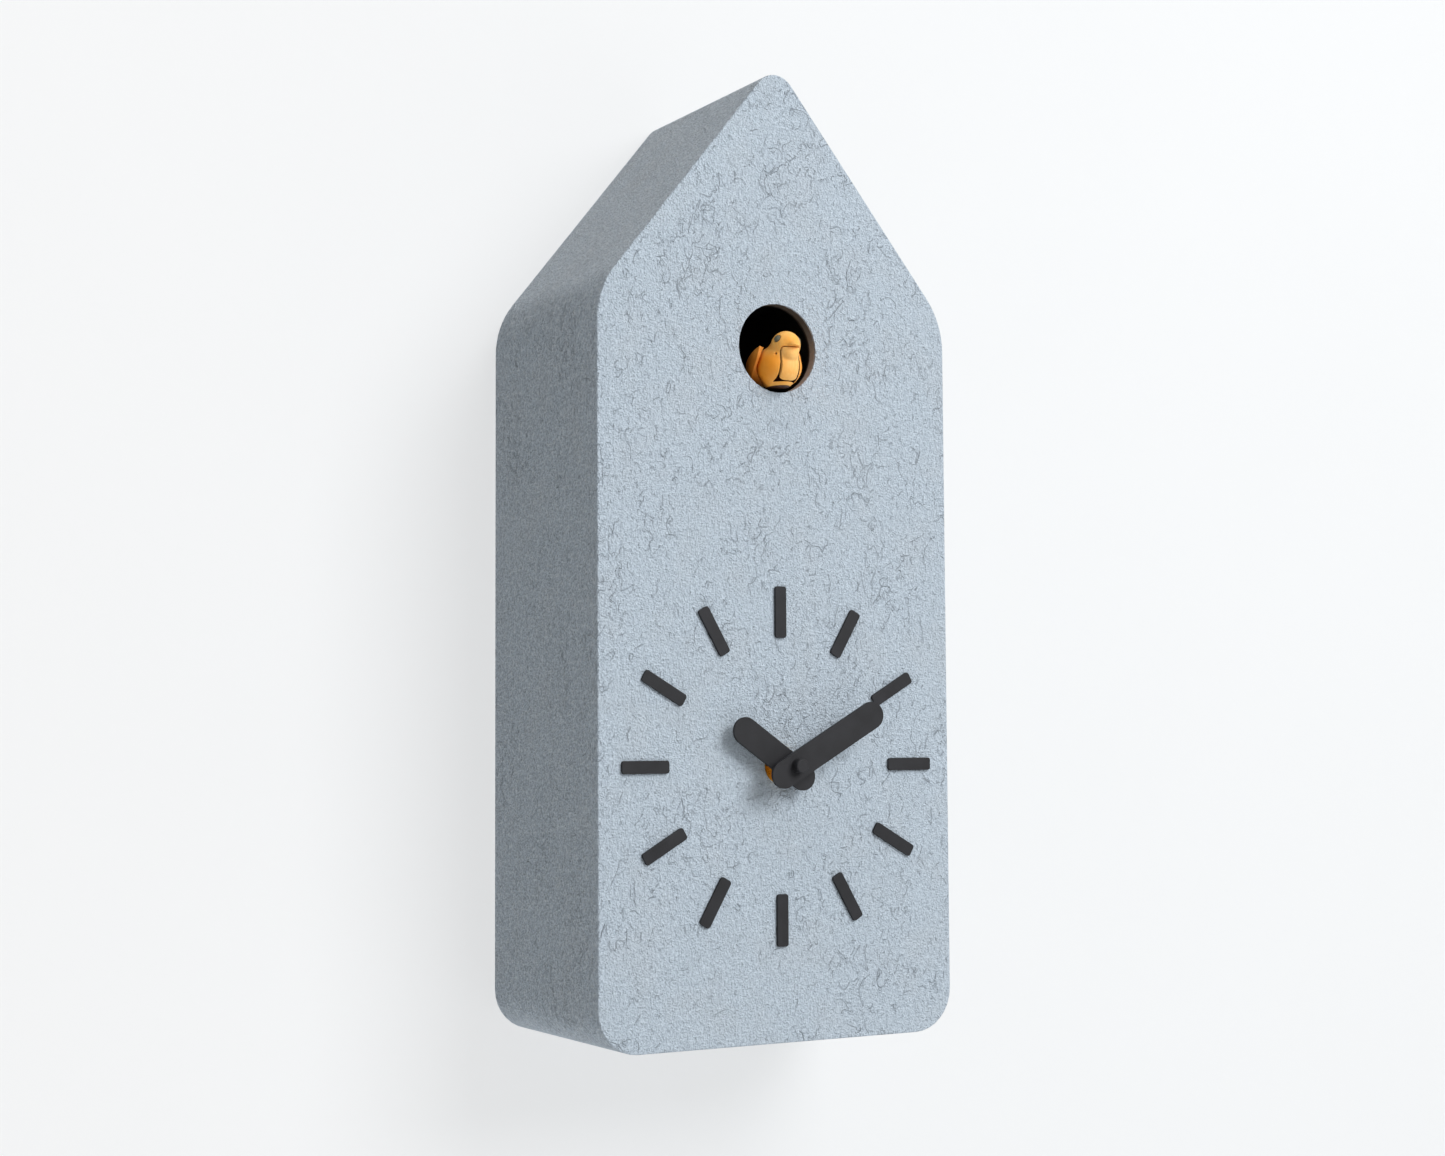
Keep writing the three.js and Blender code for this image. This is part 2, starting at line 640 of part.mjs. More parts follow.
function movementRearShell() {
  const outer = plate(rectangle(movementLeft, movementRight, movementBottom, movementTop, shellRadius), shellJoint,
    movementBack, 4);
  const gearRoom = plate(rectangle(movementLeft + shellWall, gearRoomRight, movementBottom + shellWall,
    movementTop - shellWall, shellRadius - shellWall), shellJoint - cutPast, movementBack - shellWall, 3);
  const bay = block(bayLeft, bayRight, movementBack - bayDepth, movementBack + cutPast,
    dialHeight - bayHeight / 2, dialHeight + bayHeight / 2);
  let shell = outer.subtract(gearRoom).subtract(bay);
  const earReach = lidPinRadius + lidEarWall;
  for (const side of [-1, 1]) {
    const ear = bayMiddle + side * (lidEarOuter - lidEar / 2);
    shell = shell.add(block(ear - lidEar / 2, ear + lidEar / 2, movementBack - sinkIn, lidPivotY + earReach,
      lidPivotZ - earReach, lidPivotZ + earReach));
  }
  const pinHole = crossRod(lidPinRadius + runningFit, bayMiddle - lidPinHoleHalf, bayMiddle + lidPinHoleHalf,
    lidPivotY, lidPivotZ, 20);
  const slotHalf = switchStem / 2 + slideFit;
  const switchZ = dialHeight + switchRise;
  const slot = block(-controlOffset - slotHalf - switchTravel, -controlOffset + slotHalf + switchTravel, shellJoint,
    movementBack + cutPast, switchZ - slotHalf, switchZ + slotHalf);
  const shaftHole = (x, z) => rod(arborRearRadius + runningFit, shellJoint, movementBack + cutPast, x, z, 24);
  part("movement_rear_shell", shell.subtract(pinHole).subtract(slot)
    .subtract(shaftHole(0, dialHeight))
    .subtract(shaftHole(-controlOffset, dialHeight - volumeKnobDrop)), "blackPlastic");
}

function nightSwitch() {
  const z = dialHeight + switchRise;
  const inner = movementBack - shellWall - slideFit;
  const half = switchStem / 2;
  part("night_switch", block(-controlOffset - half, -controlOffset + half, inner - switchPad / 2,
    movementBack + switchProud, z - half, z + half)
    .add(block(-controlOffset - 2 * switchStem, -controlOffset + 2 * switchStem, inner - switchPad, inner,
      z - switchStem, z + switchStem)), "whitePlastic");
}

// A knob with rounded flutes, its foot just clear of the movement.
function fluted(radius, height, x, z) {
  const foot = movementBack + gearGap;
  const module = radius / (knobFlutes / 2 + fluteTooth.addendum);
  return plate(gearOutline(knobFlutes, module, 0, fluteTooth), foot, foot + height).translate([x, 0, z]);
}

function knobs() {
  const foot = movementBack + gearGap;
  const volumeZ = dialHeight - volumeKnobDrop;
  const top = foot + volumeKnobHeight;
  part("volume_knob", fluted(volumeKnobRadius, volumeKnobHeight, -controlOffset, volumeZ)
    .add(rod(arborRearRadius, movementBack - shellWall - volumeStemReach, foot + sinkIn, -controlOffset, volumeZ, 24))
    .subtract(block(-controlOffset - volumeMarkWidth / 2, -controlOffset + volumeMarkWidth / 2,
      top - volumeMarkWidth, top + cutPast, volumeZ, volumeZ + volumeKnobRadius + cutPast)), "whitePlastic");
  part("setting_knob", fluted(knobRadius, knobHeight, 0, dialHeight)
    .subtract(rod(arborRearRadius + runningFit, foot - cutPast, foot + knobHeight - knobBlindEnd, 0, dialHeight,
      24)), "whitePlastic");
}

function nutAndWasher() {
  const nutBack = front - washerThickness;
  const bore = bushingRadius + runningFit;
  part("dial_washer", turned([[bore, nutBack], [washerRadius, nutBack], [washerRadius, front], [bore, front]], 0,
    dialHeight), "brass");
  const corners = [0, 1, 2, 3, 4, 5].map((i) => {
    const angle = Math.PI / 3 * i;
    const radius = nutWidth / Math.sqrt(3);
    return v2(radius * Math.cos(angle), radius * Math.sin(angle) + dialHeight);
  });
  part("mounting_nut", plate(rounded(corners, corners.map(() => 0)), nutBack - nutThickness, nutBack)
    .subtract(rod(bore, nutBack - 2 * nutThickness, nutBack + cutPast, 0, dialHeight)), "brass");
}

function battery(name, x) {
  const foot = dialHeight - cellLength / 2;
  const head = foot + cellLength - cellButtonLength;
  const y = movementBack - bayDepth + cellClearance + cellRadius;
  const profile = [[0, foot], [cellRadius - cellEdge, foot], [cellRadius, foot + cellEdge],
    [cellRadius, head - cellEdge], [cellRadius - cellEdge, head], [cellButtonRadius, head],
    [cellButtonRadius, head + cellButtonLength], [0, head + cellButtonLength], [0, foot]];
  const upright = solid(new THREE.LatheGeometry(profile.map(([r, h]) => v2(r, h)), 18).rotateX(Math.PI / 2));
  part(name, upright.translate([x, y, 0]), "cell");
}

function batteryBay() {
  battery("battery_left", bayLeft + cellClearance + cellRadius);
  battery("battery_right", bayRight - cellClearance - cellRadius);
  const low = dialHeight - bayHeight / 2 - lidMargin;
  const inner = movementBack + seatGap;
  const outer = inner + lidThickness;
  const cover = block(bayMiddle - lidHalf, bayMiddle + lidHalf, inner, outer, low, lidPivotZ);
  const grip = block(bayMiddle - gripWidth / 2, bayMiddle + gripWidth / 2, outer - sinkIn, outer + gripRise, low,
    low + gripHeight);
  const pinHalf = lidPinHoleHalf - seatGap;
  part("battery_lid", cover.add(grip)
    .add(crossRod(lidBarrel, bayMiddle - lidHalf, bayMiddle + lidHalf, lidPivotY, lidPivotZ, 24))
    .add(crossRod(lidPinRadius, bayMiddle - pinHalf, bayMiddle + pinHalf, lidPivotY, lidPivotZ, 20)),
  "blackPlastic");
}

function motionWork() {
  const up = Math.PI / 2;
  const wheel = plate(gearOutline(hourWheelTeeth, hourModule, toothAt(up), wheelTooth), hourWheelFront,
    hourWheelFront + gearThickness).translate([0, 0, dialHeight]);
  const tube = rod(hourTubeRadius, front - hourHandStand - handThickness, hourWheelFront + gearThickness / 2, 0,
    dialHeight);
  const tubeBore = rod(arborRadius + runningFit, front - caseDepth, 0, 0, dialHeight);
  part("hour_wheel", wheel.add(tube).subtract(tubeBore), "whitePlastic");

  const reverserZ = dialHeight + reverserRise;
  const large = plate(gearOutline(reverserTeeth, minuteModule, gapAt(up, reverserTeeth), wheelTooth),
    reverserFront, reverserFront + gearThickness);
  const small = plate(gearOutline(reverserPinionTeeth, hourModule, gapAt(up, reverserPinionTeeth), pinionTooth),
    hourWheelFront - gearGap / 2, reverserFront + gearThickness / 2);
  part("reverser_wheel", large.add(small).translate([0, 0, reverserZ])
    .subtract(rod(reverserPostRadius + runningFit, panelBack, movementBack, 0, reverserZ, 20)), "whitePlastic");

  const pinion = plate(gearOutline(minutePinionTeeth, minuteModule, toothAt(up), pinionTooth),
    reverserFront - gearGap / 3, reverserFront + gearThickness + gearGap).translate([0, 0, dialHeight]);
  const shoulder = front - minuteHandStand + minuteBossLength + seatGap;
  const end = movementBack + gearGap + knobHeight - knobBlindEnd - sinkIn;
  part("minute_arbor", turned([[0, arborTip], [arborTipRadius, arborTip], [arborTipRadius, shoulder],
    [arborRadius, shoulder], [arborRadius, reverserFront + gearThickness],
    [arborRearRadius, reverserFront + gearThickness], [arborRearRadius, end], [0, end]], 0, dialHeight)
    .add(pinion), "steel");
}

// ---- bird drive ---------------------------------------------------------------------------------

// Gears about X are drawn from the right side, with Y across and Z up.
function sideGear(outline, fromX, toX, y, z) {
  const geometry = new THREE.ExtrudeGeometry(outline, { depth: toX - fromX, bevelEnabled: false });
  return solid(geometry.rotateX(Math.PI / 2).rotateZ(Math.PI / 2).translate(fromX, y, z));
}

function birdFrame() {
  const railTop = floorTop + railHeight;
  const lipBottom = railTop - lipThickness;
  const railOuter = railInner + railThickness;
  const lipEnd = railInner - railLip;
  const half = [[tunnelHalf, tunnelTop], [tunnelHalf, floorTop], [railOuter, floorTop], [railOuter, railTop],
    [lipEnd, railTop], [lipEnd, lipBottom], [railInner, lipBottom], [railInner, floorTop]];
  const mirrored = half.map(([x, z]) => [-x, z]).reverse();
  const room = new THREE.Shape([...half, ...mirrored].map(([x, z]) => v2(x, z)));
  const tunnel = plate(rectangle(-outerWall, outerWall, floorBottom, tunnelTop + tunnelWall, tunnelRadius),
    panelBack, tunnelBack, 3).subtract(plate(room, panelBack - cutPast, tunnelBack + cutPast));
  const slotHalf = rackWidth / 2 + cutPast;
  const slot = block(-slotHalf, slotHalf, panelBack + rackSlotEnd, tunnelBack - rackSlotEnd, floorBottom - cutPast,
    floorTop + cutPast);
  const flange = plate(rectangle(-outerWall - flangeReach, outerWall + flangeReach, floorBottom - flangeDrop,
    floorTop, tunnelRadius), panelBack, panelBack + tunnelWall, 3);
  const joined = floorBottom + sinkIn;
  const ear = block(leftEar - axleEarThickness, leftEar, axleY - axleEarHalf, axleY + axleEarHalf,
    axleZ - axleEarDrop, joined);
  const inner = outerWall - tunnelWall;
  const reach = motorRadius + cutPast;
  const motorPlate = block(inner, outerWall, axleY - axleEarHalf, motorY + reach, motorZ - reach, joined);
  part("bird_frame", tunnel.subtract(slot).add(flange).add(ear).add(motorPlate)
    .subtract(crossRod(axleRadius + runningFit, leftEar - 2 * axleEarThickness, outerWall + cutPast, axleY, axleZ,
      24))
    .subtract(crossRod(motorBossRadius + pinionOverlap, inner - cutPast, outerWall + cutPast, motorY, motorZ, 24)),
  "blackPlastic");
}

// The rack hangs under the slab and a post behind the bird carries the push rod.
function birdCarriage() {
  const slabBottom = floorTop + slideFit;
  const slabTop = floorTop + carriageThickness;
  const slab = block(-carriageWidth / 2, carriageWidth / 2, carriageFront, carriageRear, slabBottom, slabTop);
  const pitch = Math.PI * rackModule;
  const rackFront = carriageFront + rackMargin;
  const rackRear = carriageRear - rackMargin;
  const root = rackPitchZ + pinionTooth.dedendum * rackModule;
  const tip = rackPitchZ - pinionTooth.addendum * rackModule;
  const teeth = [];
  const last = Math.ceil(carriageLength / pitch);
  for (let i = -last; i <= last; i += 1) {
    const middle = axleY + (i + 0.5) * pitch;
    if (middle - pitch / 2 < rackFront || middle + pitch / 2 > rackRear) continue;
    const rootHalf = rackRootShare * pitch / 2;
    const tipHalf = rackTipShare * pitch / 2;
    teeth.push(v2(middle - rootHalf, root), v2(middle - tipHalf, tip), v2(middle + tipHalf, tip),
      v2(middle + rootHalf, root));
  }
  const top = slabBottom + sinkIn;
  const rackShape = new THREE.Shape([v2(rackFront, top), v2(rackFront, root), ...teeth, v2(rackRear, root),
    v2(rackRear, top)]);
  const rack = sideGear(rackShape, -rackWidth / 2, rackWidth / 2, 0, 0);
  const postFront = carriageFront + postInset;
  const post = block(-postWidth / 2, postWidth / 2, postFront, postFront + postLength, slabTop - sinkIn,
    rodHeight + postWidth / 2);
  part("bird_carriage", slab.add(rack).add(post)
    .add(rod(rodRadius, rodTip, postFront + cutPast, 0, rodHeight, 24)), "greyPlastic");
}

function birdGears() {
  const up = Math.PI / 2;
  const towardMotor = radians(motorAngle);
  const half = rackWidth / 2 + seatGap;
  const pinion = sideGear(gearOutline(drivePinionTeeth, rackModule, up, pinionTooth), -half, half, axleY, axleZ);
  const wheel = sideGear(gearOutline(driveWheelTeeth, driveModule, toothAt(towardMotor), wheelTooth), wheelX,
    wheelX + wheelThickness, axleY, axleZ);
  const shaftEnd = wheelX + wheelThickness + cutPast;
  part("drive_wheel", pinion.add(wheel)
    .add(crossRod(axleRadius, leftEar - axleEarThickness - pinionOverlap, shaftEnd, axleY, axleZ, 24)),
  "whitePlastic");
  const small = sideGear(gearOutline(motorPinionTeeth, driveModule, gapAt(towardMotor, motorPinionTeeth),
    pinionTooth), wheelX - pinionOverlap, wheelX + wheelThickness + pinionOverlap, motorY, motorZ);
  const face = outerWall - tunnelWall;
  part("motor_pinion", small
    .add(crossRod(motorShaftRadius, face - motorShaftReach, shaftEnd, motorY, motorZ, 20)), "brass");
  part("bird_motor", crossRod(motorRadius, face - motorLength, face, motorY, motorZ, 32)
    .add(crossRod(motorBossRadius, face - sinkIn, face + motorBossLength, motorY, motorZ, 24))
    .subtract(crossRod(motorShaftRadius + runningFit, face - motorShaftReach - cutPast, wheelX, motorY, motorZ, 20)),
  "steel");
}

// ---- bird ---------------------------------------------------------------------------------------

function form({ halfWidth, halfLength, halfHeight, forward, rise, tilt }, growth) {
  return ellipsoid(halfWidth + growth, halfLength + growth, halfHeight + growth, 0, 0, 0)
    .rotate([tilt, 0, 0])
    .translate([0, front - forward, holeHeight + rise]);
}

// Cutters run this far past what they cut.
const beyond = 4 * chest.halfLength;

function birdForm(growth) {
  const below = block(-beyond, beyond, front - beyond, front + beyond, holeHeight - beyond,
    holeHeight - footDrop - growth);
  return [shoulders, rump, tail, neck, head]
    .reduce((whole, each) => whole.add(form(each, growth)), form(chest, growth))
    .subtract(below);
}

// An eye is a short peg set square to the head.
function eyePeg(side, radius) {
  const reach = head.halfWidth + eyeProud - eyeLength / 2;
  return solid(new THREE.CylinderGeometry(radius, radius, eyeLength, 16))
    .translate([0, -reach, 0])
    .rotate([-eyeLift, 0, side * eyeTurn])
    .translate([0, front - head.forward, holeHeight + head.rise]);
}

// The upper beak is open below the mouth, apart from the hook at its tip.
function birdBody(whole) {
  const belowMouth = block(-beyond, beyond, front - hookForward, front - head.forward, holeHeight - beyond, mouthZ);
  const throat = block(-throatHalfWidth, throatHalfWidth, front - hookForward, beakPinY + throatRoom,
    mouthZ - throatLength, mouthZ);
  part("bird_body", whole.add(form(upperBeak, 0).subtract(belowMouth))
    .subtract(throat)
    .subtract(eyePeg(-1, eyeRadius + seatGap))
    .subtract(eyePeg(1, eyeRadius + seatGap))
    .subtract(crossRod(beakPinRadius + runningFit, -beyond, beyond, beakPinY, beakPinZ, 12))
    .subtract(rod(rodRadius + runningFit, rodTip - seatGap, front + beyond, 0, rodHeight)), "birdWood");
}

// The throat plate and the lower bill are one piece that rocks on the pin.
function lowerBeak(whole) {
  const half = throatHalfWidth - throatGap;
  const top = mouthZ - throatGap;
  const bottom = mouthZ - throatLength + throatGap;
  const window = block(-half, half, front - hookForward + throatGap, beakPinY, bottom, top);
  const skin = whole.subtract(whole.translate([0, throatThickness, 0])).intersect(window);
  const bill = form(lowerBill, 0).intersect(window);
  const bossRadius = beakPinRadius + beakBossWall;
  const web = whole.intersect(block(-half, half, front - hookForward, beakPinY, beakPinZ - bossRadius / 2, top));
  part("lower_beak", skin.add(bill).add(web)
    .add(crossRod(bossRadius, -half, half, beakPinY, beakPinZ, 16))
    .subtract(crossRod(beakPinRadius + runningFit, -beyond, beyond, beakPinY, beakPinZ, 12)), "birdWood");
  part("beak_pin", crossRod(beakPinRadius, -beakPinHalf, beakPinHalf, beakPinY, beakPinZ, 12), "steel");
}

function wingShape() {
  const { shoulder, heel, tip, frontBow, lowerBow, upperBow } = wingOutline;
  const shape = new THREE.Shape();
  shape.moveTo(...shoulder);
  shape.quadraticCurveTo(...frontBow, ...heel);
  shape.quadraticCurveTo(...lowerBow, ...tip);
  shape.quadraticCurveTo(...upperBow, ...shoulder);
  return shape;
}

function wings() {
  const side = new THREE.ExtrudeGeometry(wingShape(), { depth: beyond, bevelEnabled: false, curveSegments: 5 });
  const prism = solid(side.rotateX(Math.PI / 2).rotateZ(-Math.PI / 2).translate(-wingRoot, front, holeHeight));
  const shell = form(wing, 0).intersect(prism).subtract(birdForm(seatGap));
  for (const [name, turn] of [["left", 1], ["right", -1]]) {
    part(`${name}_wing`, turn === 1 ? shell : shell.mirror([1, 0, 0]), "wingWood");
  }
}

function bird() {
  const whole = birdForm(0);
  birdBody(whole);
  lowerBeak(whole);
  wings();
  part("left_eye", eyePeg(-1, eyeRadius), "eye");
  part("right_eye", eyePeg(1, eyeRadius), "eye");
}

// ---- speaker ------------------------------------------------------------------------------------

function speaker() {
  const seat = backPanelFront;
  const back = seat - speakerDepth;
  const lip = seat - basketSheet;
  const coneSeat = coneRadius + seatGap;
  const neckRadius = magnetRadius - basketSheet;
  part("speaker_basket", turned([[speakerRadius, seat], [coneSeat, seat], [coneSeat, lip - basketSheet],
    [neckRadius - basketSheet, back + basketSheet], [dustCapRadius, back + basketSheet], [dustCapRadius, back],
    [neckRadius, back], [coneSeat + basketSheet, lip - basketSheet], [coneSeat + basketSheet, lip],
    [speakerRadius, lip]], 0, speakerHeight, 28), "steel");
  part("speaker_magnet", rod(magnetRadius, back - magnetDepth, back, 0, speakerHeight, 28), "steel");
  const rim = seat - paperThickness;
  const throat = rim - coneDepth;
  part("speaker_cone", turned([[coneRadius, rim], [coneRadius, rim - paperThickness],
    [dustCapRadius, throat - paperThickness], [0, throat + dustCapRise - paperThickness],
    [0, throat + dustCapRise], [dustCapRadius, throat]], 0, speakerHeight, 28), "paper");
}

boards();
panels();
backPanel();
hanger();
hourBars();
movementFrontShell();
movementRearShell();
nightSwitch();
knobs();
nutAndWasher();
batteryBay();
motionWork();
hands();
birdFrame();
birdCarriage();
birdGears();
bird();
speaker();

export default clock;
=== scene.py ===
import bpy
import bmesh
import json
import math
from mathutils import Matrix, Vector
from mathutils.geometry import interpolate_bezier


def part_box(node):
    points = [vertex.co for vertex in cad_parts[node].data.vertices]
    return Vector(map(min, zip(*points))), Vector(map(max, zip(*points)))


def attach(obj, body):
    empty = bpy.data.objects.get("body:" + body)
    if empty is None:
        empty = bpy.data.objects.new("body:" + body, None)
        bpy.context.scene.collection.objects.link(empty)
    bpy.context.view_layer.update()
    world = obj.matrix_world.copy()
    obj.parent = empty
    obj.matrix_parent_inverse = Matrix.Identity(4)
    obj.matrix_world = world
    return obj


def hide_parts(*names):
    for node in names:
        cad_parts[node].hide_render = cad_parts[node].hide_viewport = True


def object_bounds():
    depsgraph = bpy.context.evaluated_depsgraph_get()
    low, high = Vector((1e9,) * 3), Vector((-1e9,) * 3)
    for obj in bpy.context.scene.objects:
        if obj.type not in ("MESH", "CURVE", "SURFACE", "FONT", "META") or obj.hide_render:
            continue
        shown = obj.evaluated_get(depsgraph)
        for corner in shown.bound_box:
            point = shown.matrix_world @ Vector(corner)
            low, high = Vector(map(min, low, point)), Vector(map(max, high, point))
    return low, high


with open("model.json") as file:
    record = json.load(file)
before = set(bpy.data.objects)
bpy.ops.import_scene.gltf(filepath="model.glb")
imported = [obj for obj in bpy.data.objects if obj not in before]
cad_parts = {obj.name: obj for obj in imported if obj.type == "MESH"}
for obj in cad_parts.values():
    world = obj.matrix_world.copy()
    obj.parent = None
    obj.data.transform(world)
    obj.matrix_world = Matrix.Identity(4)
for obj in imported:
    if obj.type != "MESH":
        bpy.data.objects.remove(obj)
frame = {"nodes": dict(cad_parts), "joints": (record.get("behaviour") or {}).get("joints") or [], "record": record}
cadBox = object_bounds()
record = frame["record"]
bodyOfNode = {node: body for body, nodes in record["behaviour"]["bodies"].items() for node in nodes}
slotOfNode = {part["node"]: part["material_slot"] for part in record["subparts"]}
pivots = {joint["name"]: joint["pos_m"] for joint in frame["joints"] if "pos_m" in joint}
mm = 0.001

# places that several pieces share, in metres
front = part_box("front_covering")[0].y
places = {
    "front": front,
    "holeCentre": Vector((0, front, -0.06)),
    "holeRadius": 0.0189,
    "dialCentre": Vector(pivots["minute_turn"]),
    "boreRadius": 0.0051,
}


cameraValues = {
    "place": (-0.4973, -0.9236, -0.2221),
    "lens": 57.302, "sensor": 36,
    "yaw": 29.708, "pitch": 3.871, "roll": -0.314,  # degrees
}


def makeCamera():
    yaw, pitch, roll = (math.radians(cameraValues[k]) for k in ("yaw", "pitch", "roll"))
    ahead = Vector((math.sin(yaw) * math.cos(pitch), math.cos(yaw) * math.cos(pitch), math.sin(pitch)))
    right = ahead.cross(Vector((0, 0, 1))).normalized()
    up = right.cross(ahead)
    across = math.cos(roll) * right + math.sin(roll) * up
    above = -math.sin(roll) * right + math.cos(roll) * up
    data = bpy.data.cameras.new("camera")
    data.lens = cameraValues["lens"]
    data.sensor_width = cameraValues["sensor"]
    data.sensor_fit = "HORIZONTAL"
    camera = bpy.data.objects.new("camera", data)
    turn = Matrix((across, above, -ahead)).transposed().to_4x4()
    camera.matrix_world = Matrix.Translation(cameraValues["place"]) @ turn
    bpy.context.scene.collection.objects.link(camera)
    bpy.context.scene.camera = camera


makeCamera()
print("camera placed")


# wraps a node's output, so that an expression on it adds Math nodes
class Wire:
    def __init__(self, finish, socket):
        self.finish = finish
        self.socket = socket

    def maths(self, operation, *values):
        return self.finish.node("ShaderNodeMath", {"operation": operation}, dict(enumerate(values)))

    def __add__(self, other):
        return self.maths("ADD", self, other)

    def __radd__(self, other):
        return self.maths("ADD", other, self)

    def __sub__(self, other):
        return self.maths("SUBTRACT", self, other)

    def __rsub__(self, other):
        return self.maths("SUBTRACT", other, self)

    def __mul__(self, other):
        return self.maths("MULTIPLY", self, other)

    def __rmul__(self, other):
        return self.maths("MULTIPLY", other, self)

    def __truediv__(self, other):
        return self.maths("DIVIDE", self, other)

    def __rtruediv__(self, other):
        return self.maths("DIVIDE", other, self)

    def __abs__(self):
        return self.maths("ABSOLUTE", self)


# a colour as it is picked on the screen, in the linear values that the nodes take
def linear(hexColour):
    parts = [int(hexColour[i:i + 2], 16) / 255 for i in (0, 2, 4)]
    return tuple(c / 12.92 if c <= 0.04045 else ((c + 0.055) / 1.055) ** 2.4 for c in parts) + (1,)


class Finish:
    def __init__(self, name, roughness, metallic=0.0, specular=0.5):
        self.material = bpy.data.materials.new(name)
        self.material.use_nodes = True
        self.tree = self.material.node_tree
        self.shader = self.tree.nodes["Principled BSDF"]
        self.plug(roughness, self.shader.inputs["Roughness"])
        self.plug(metallic, self.shader.inputs["Metallic"])
        self.plug(specular, self.shader.inputs["Specular IOR Level"])

    def plug(self, value, socket):
        if isinstance(value, Wire):
            self.tree.links.new(value.socket, socket)
        else:
            socket.default_value = value

    def node(self, kind, settings=None, inputs=None, out=0):
        made = self.tree.nodes.new(kind)
        for key, value in (settings or {}).items():
            setattr(made, key, value)
        for key, value in (inputs or {}).items():
            self.plug(value, made.inputs[key])
        return Wire(self, made.outputs[out])

    def place(self):
        return self.node("ShaderNodeTexCoord", out="Object")

    def axis(self, which):
        return self.node("ShaderNodeSeparateXYZ", {}, {0: self.place()}, out=which)

    # the place with its axes stretched, and turned by degrees
    def mapped(self, stretch, turn=(0, 0, 0)):
        turn = tuple(math.radians(degrees) for degrees in turn)
        return self.node("ShaderNodeMapping", {}, {
            "Vector": self.place(), "Rotation": turn, "Scale": stretch})

    # noise with so many grains to the metre
    def grain(self, vector, scale, detail=3.0, rough=0.6, distortion=0.0):
        return self.node("ShaderNodeTexNoise", {"noise_dimensions": "3D"}, {
            "Vector": vector, "Scale": scale, "Detail": detail, "Roughness": rough, "Distortion": distortion})

    def ramp(self, value, low, high, start=0.0, end=1.0):
        return self.node("ShaderNodeMapRange", {"interpolation_type": "SMOOTHSTEP"}, {
            "Value": value, "From Min": low, "From Max": high, "To Min": start, "To Max": end})

    def mix(self, factor, first, second):
        return self.node("ShaderNodeMix", {"data_type": "RGBA"}, {0: factor, 6: first, 7: second}, out=2)

    def colour(self, value):
        self.plug(value, self.shader.inputs["Base Color"])

    def roughness(self, value):
        self.plug(value, self.shader.inputs["Roughness"])

    def bump(self, height, distance):
        self.plug(self.node("ShaderNodeBump", {}, {"Height": height, "Distance": distance}),
                  self.shader.inputs["Normal"])


plasterValues = {
    "pale": linear("d5e2ee"), "shade": linear("b8c5d2"), "warm": linear("c9cbcd"),
    # a painted highlight for the crests, and a painted shade that is used behind the front and in the seams
    "crest": linear("eef4f8"), "deep": linear("7f8a94"),
    "roughness": 0.8, "specular": 0.3, "relief": 0.6 * mm,
    "warmShare": 0.12, "sideDepth": (0.8 * mm, 1.4 * mm), "sideContrast": 0.34,
    # grains to the metre
    "crumbs": 1250.0, "clots": 610.0, "lumps": 260.0, "blotches": 40.0, "clusters": 34.0,
    "hatch": {"scale": 1000.0, "stretch": (1.0, 0.6, 0.28), "turn": (0, 38, 20)},
    "crossHatch": {"scale": 860.0, "stretch": (1.0, 0.6, 0.34), "turn": (0, -24, 20)},
    "coarseSeams": {"scale": 85.0, "width": 0.006, "shift": (0.0, 0.0, 0.0)},
    "fineSeams": {"scale": 170.0, "width": 0.011, "shift": (0.31, 0.17, 0.53)},
    "seamStretch": (1.0, 1.0, 0.72), "seamTurn": (0, 12, 20), "furrow": 0.8, "lip": 0.6, "seamShade": 0.34,
}


# thin wandering seams in broken runs, each a furrow with a raised lip on one side
def seams(finish, vector, scale, width, cluster):
    line = finish.grain(vector, scale, 1.6, 0.5, 0.4) - 0.5
    furrow = 1 - finish.ramp(abs(line), 0.0, width)
    lip = 1 - finish.ramp(abs(line - width * 1.5), 0.0, width * 1.3)
    runs = finish.ramp(finish.grain(vector, scale * 1.9, 2.0) + cluster, 0.545, 0.585)
    return furrow * runs, lip * runs


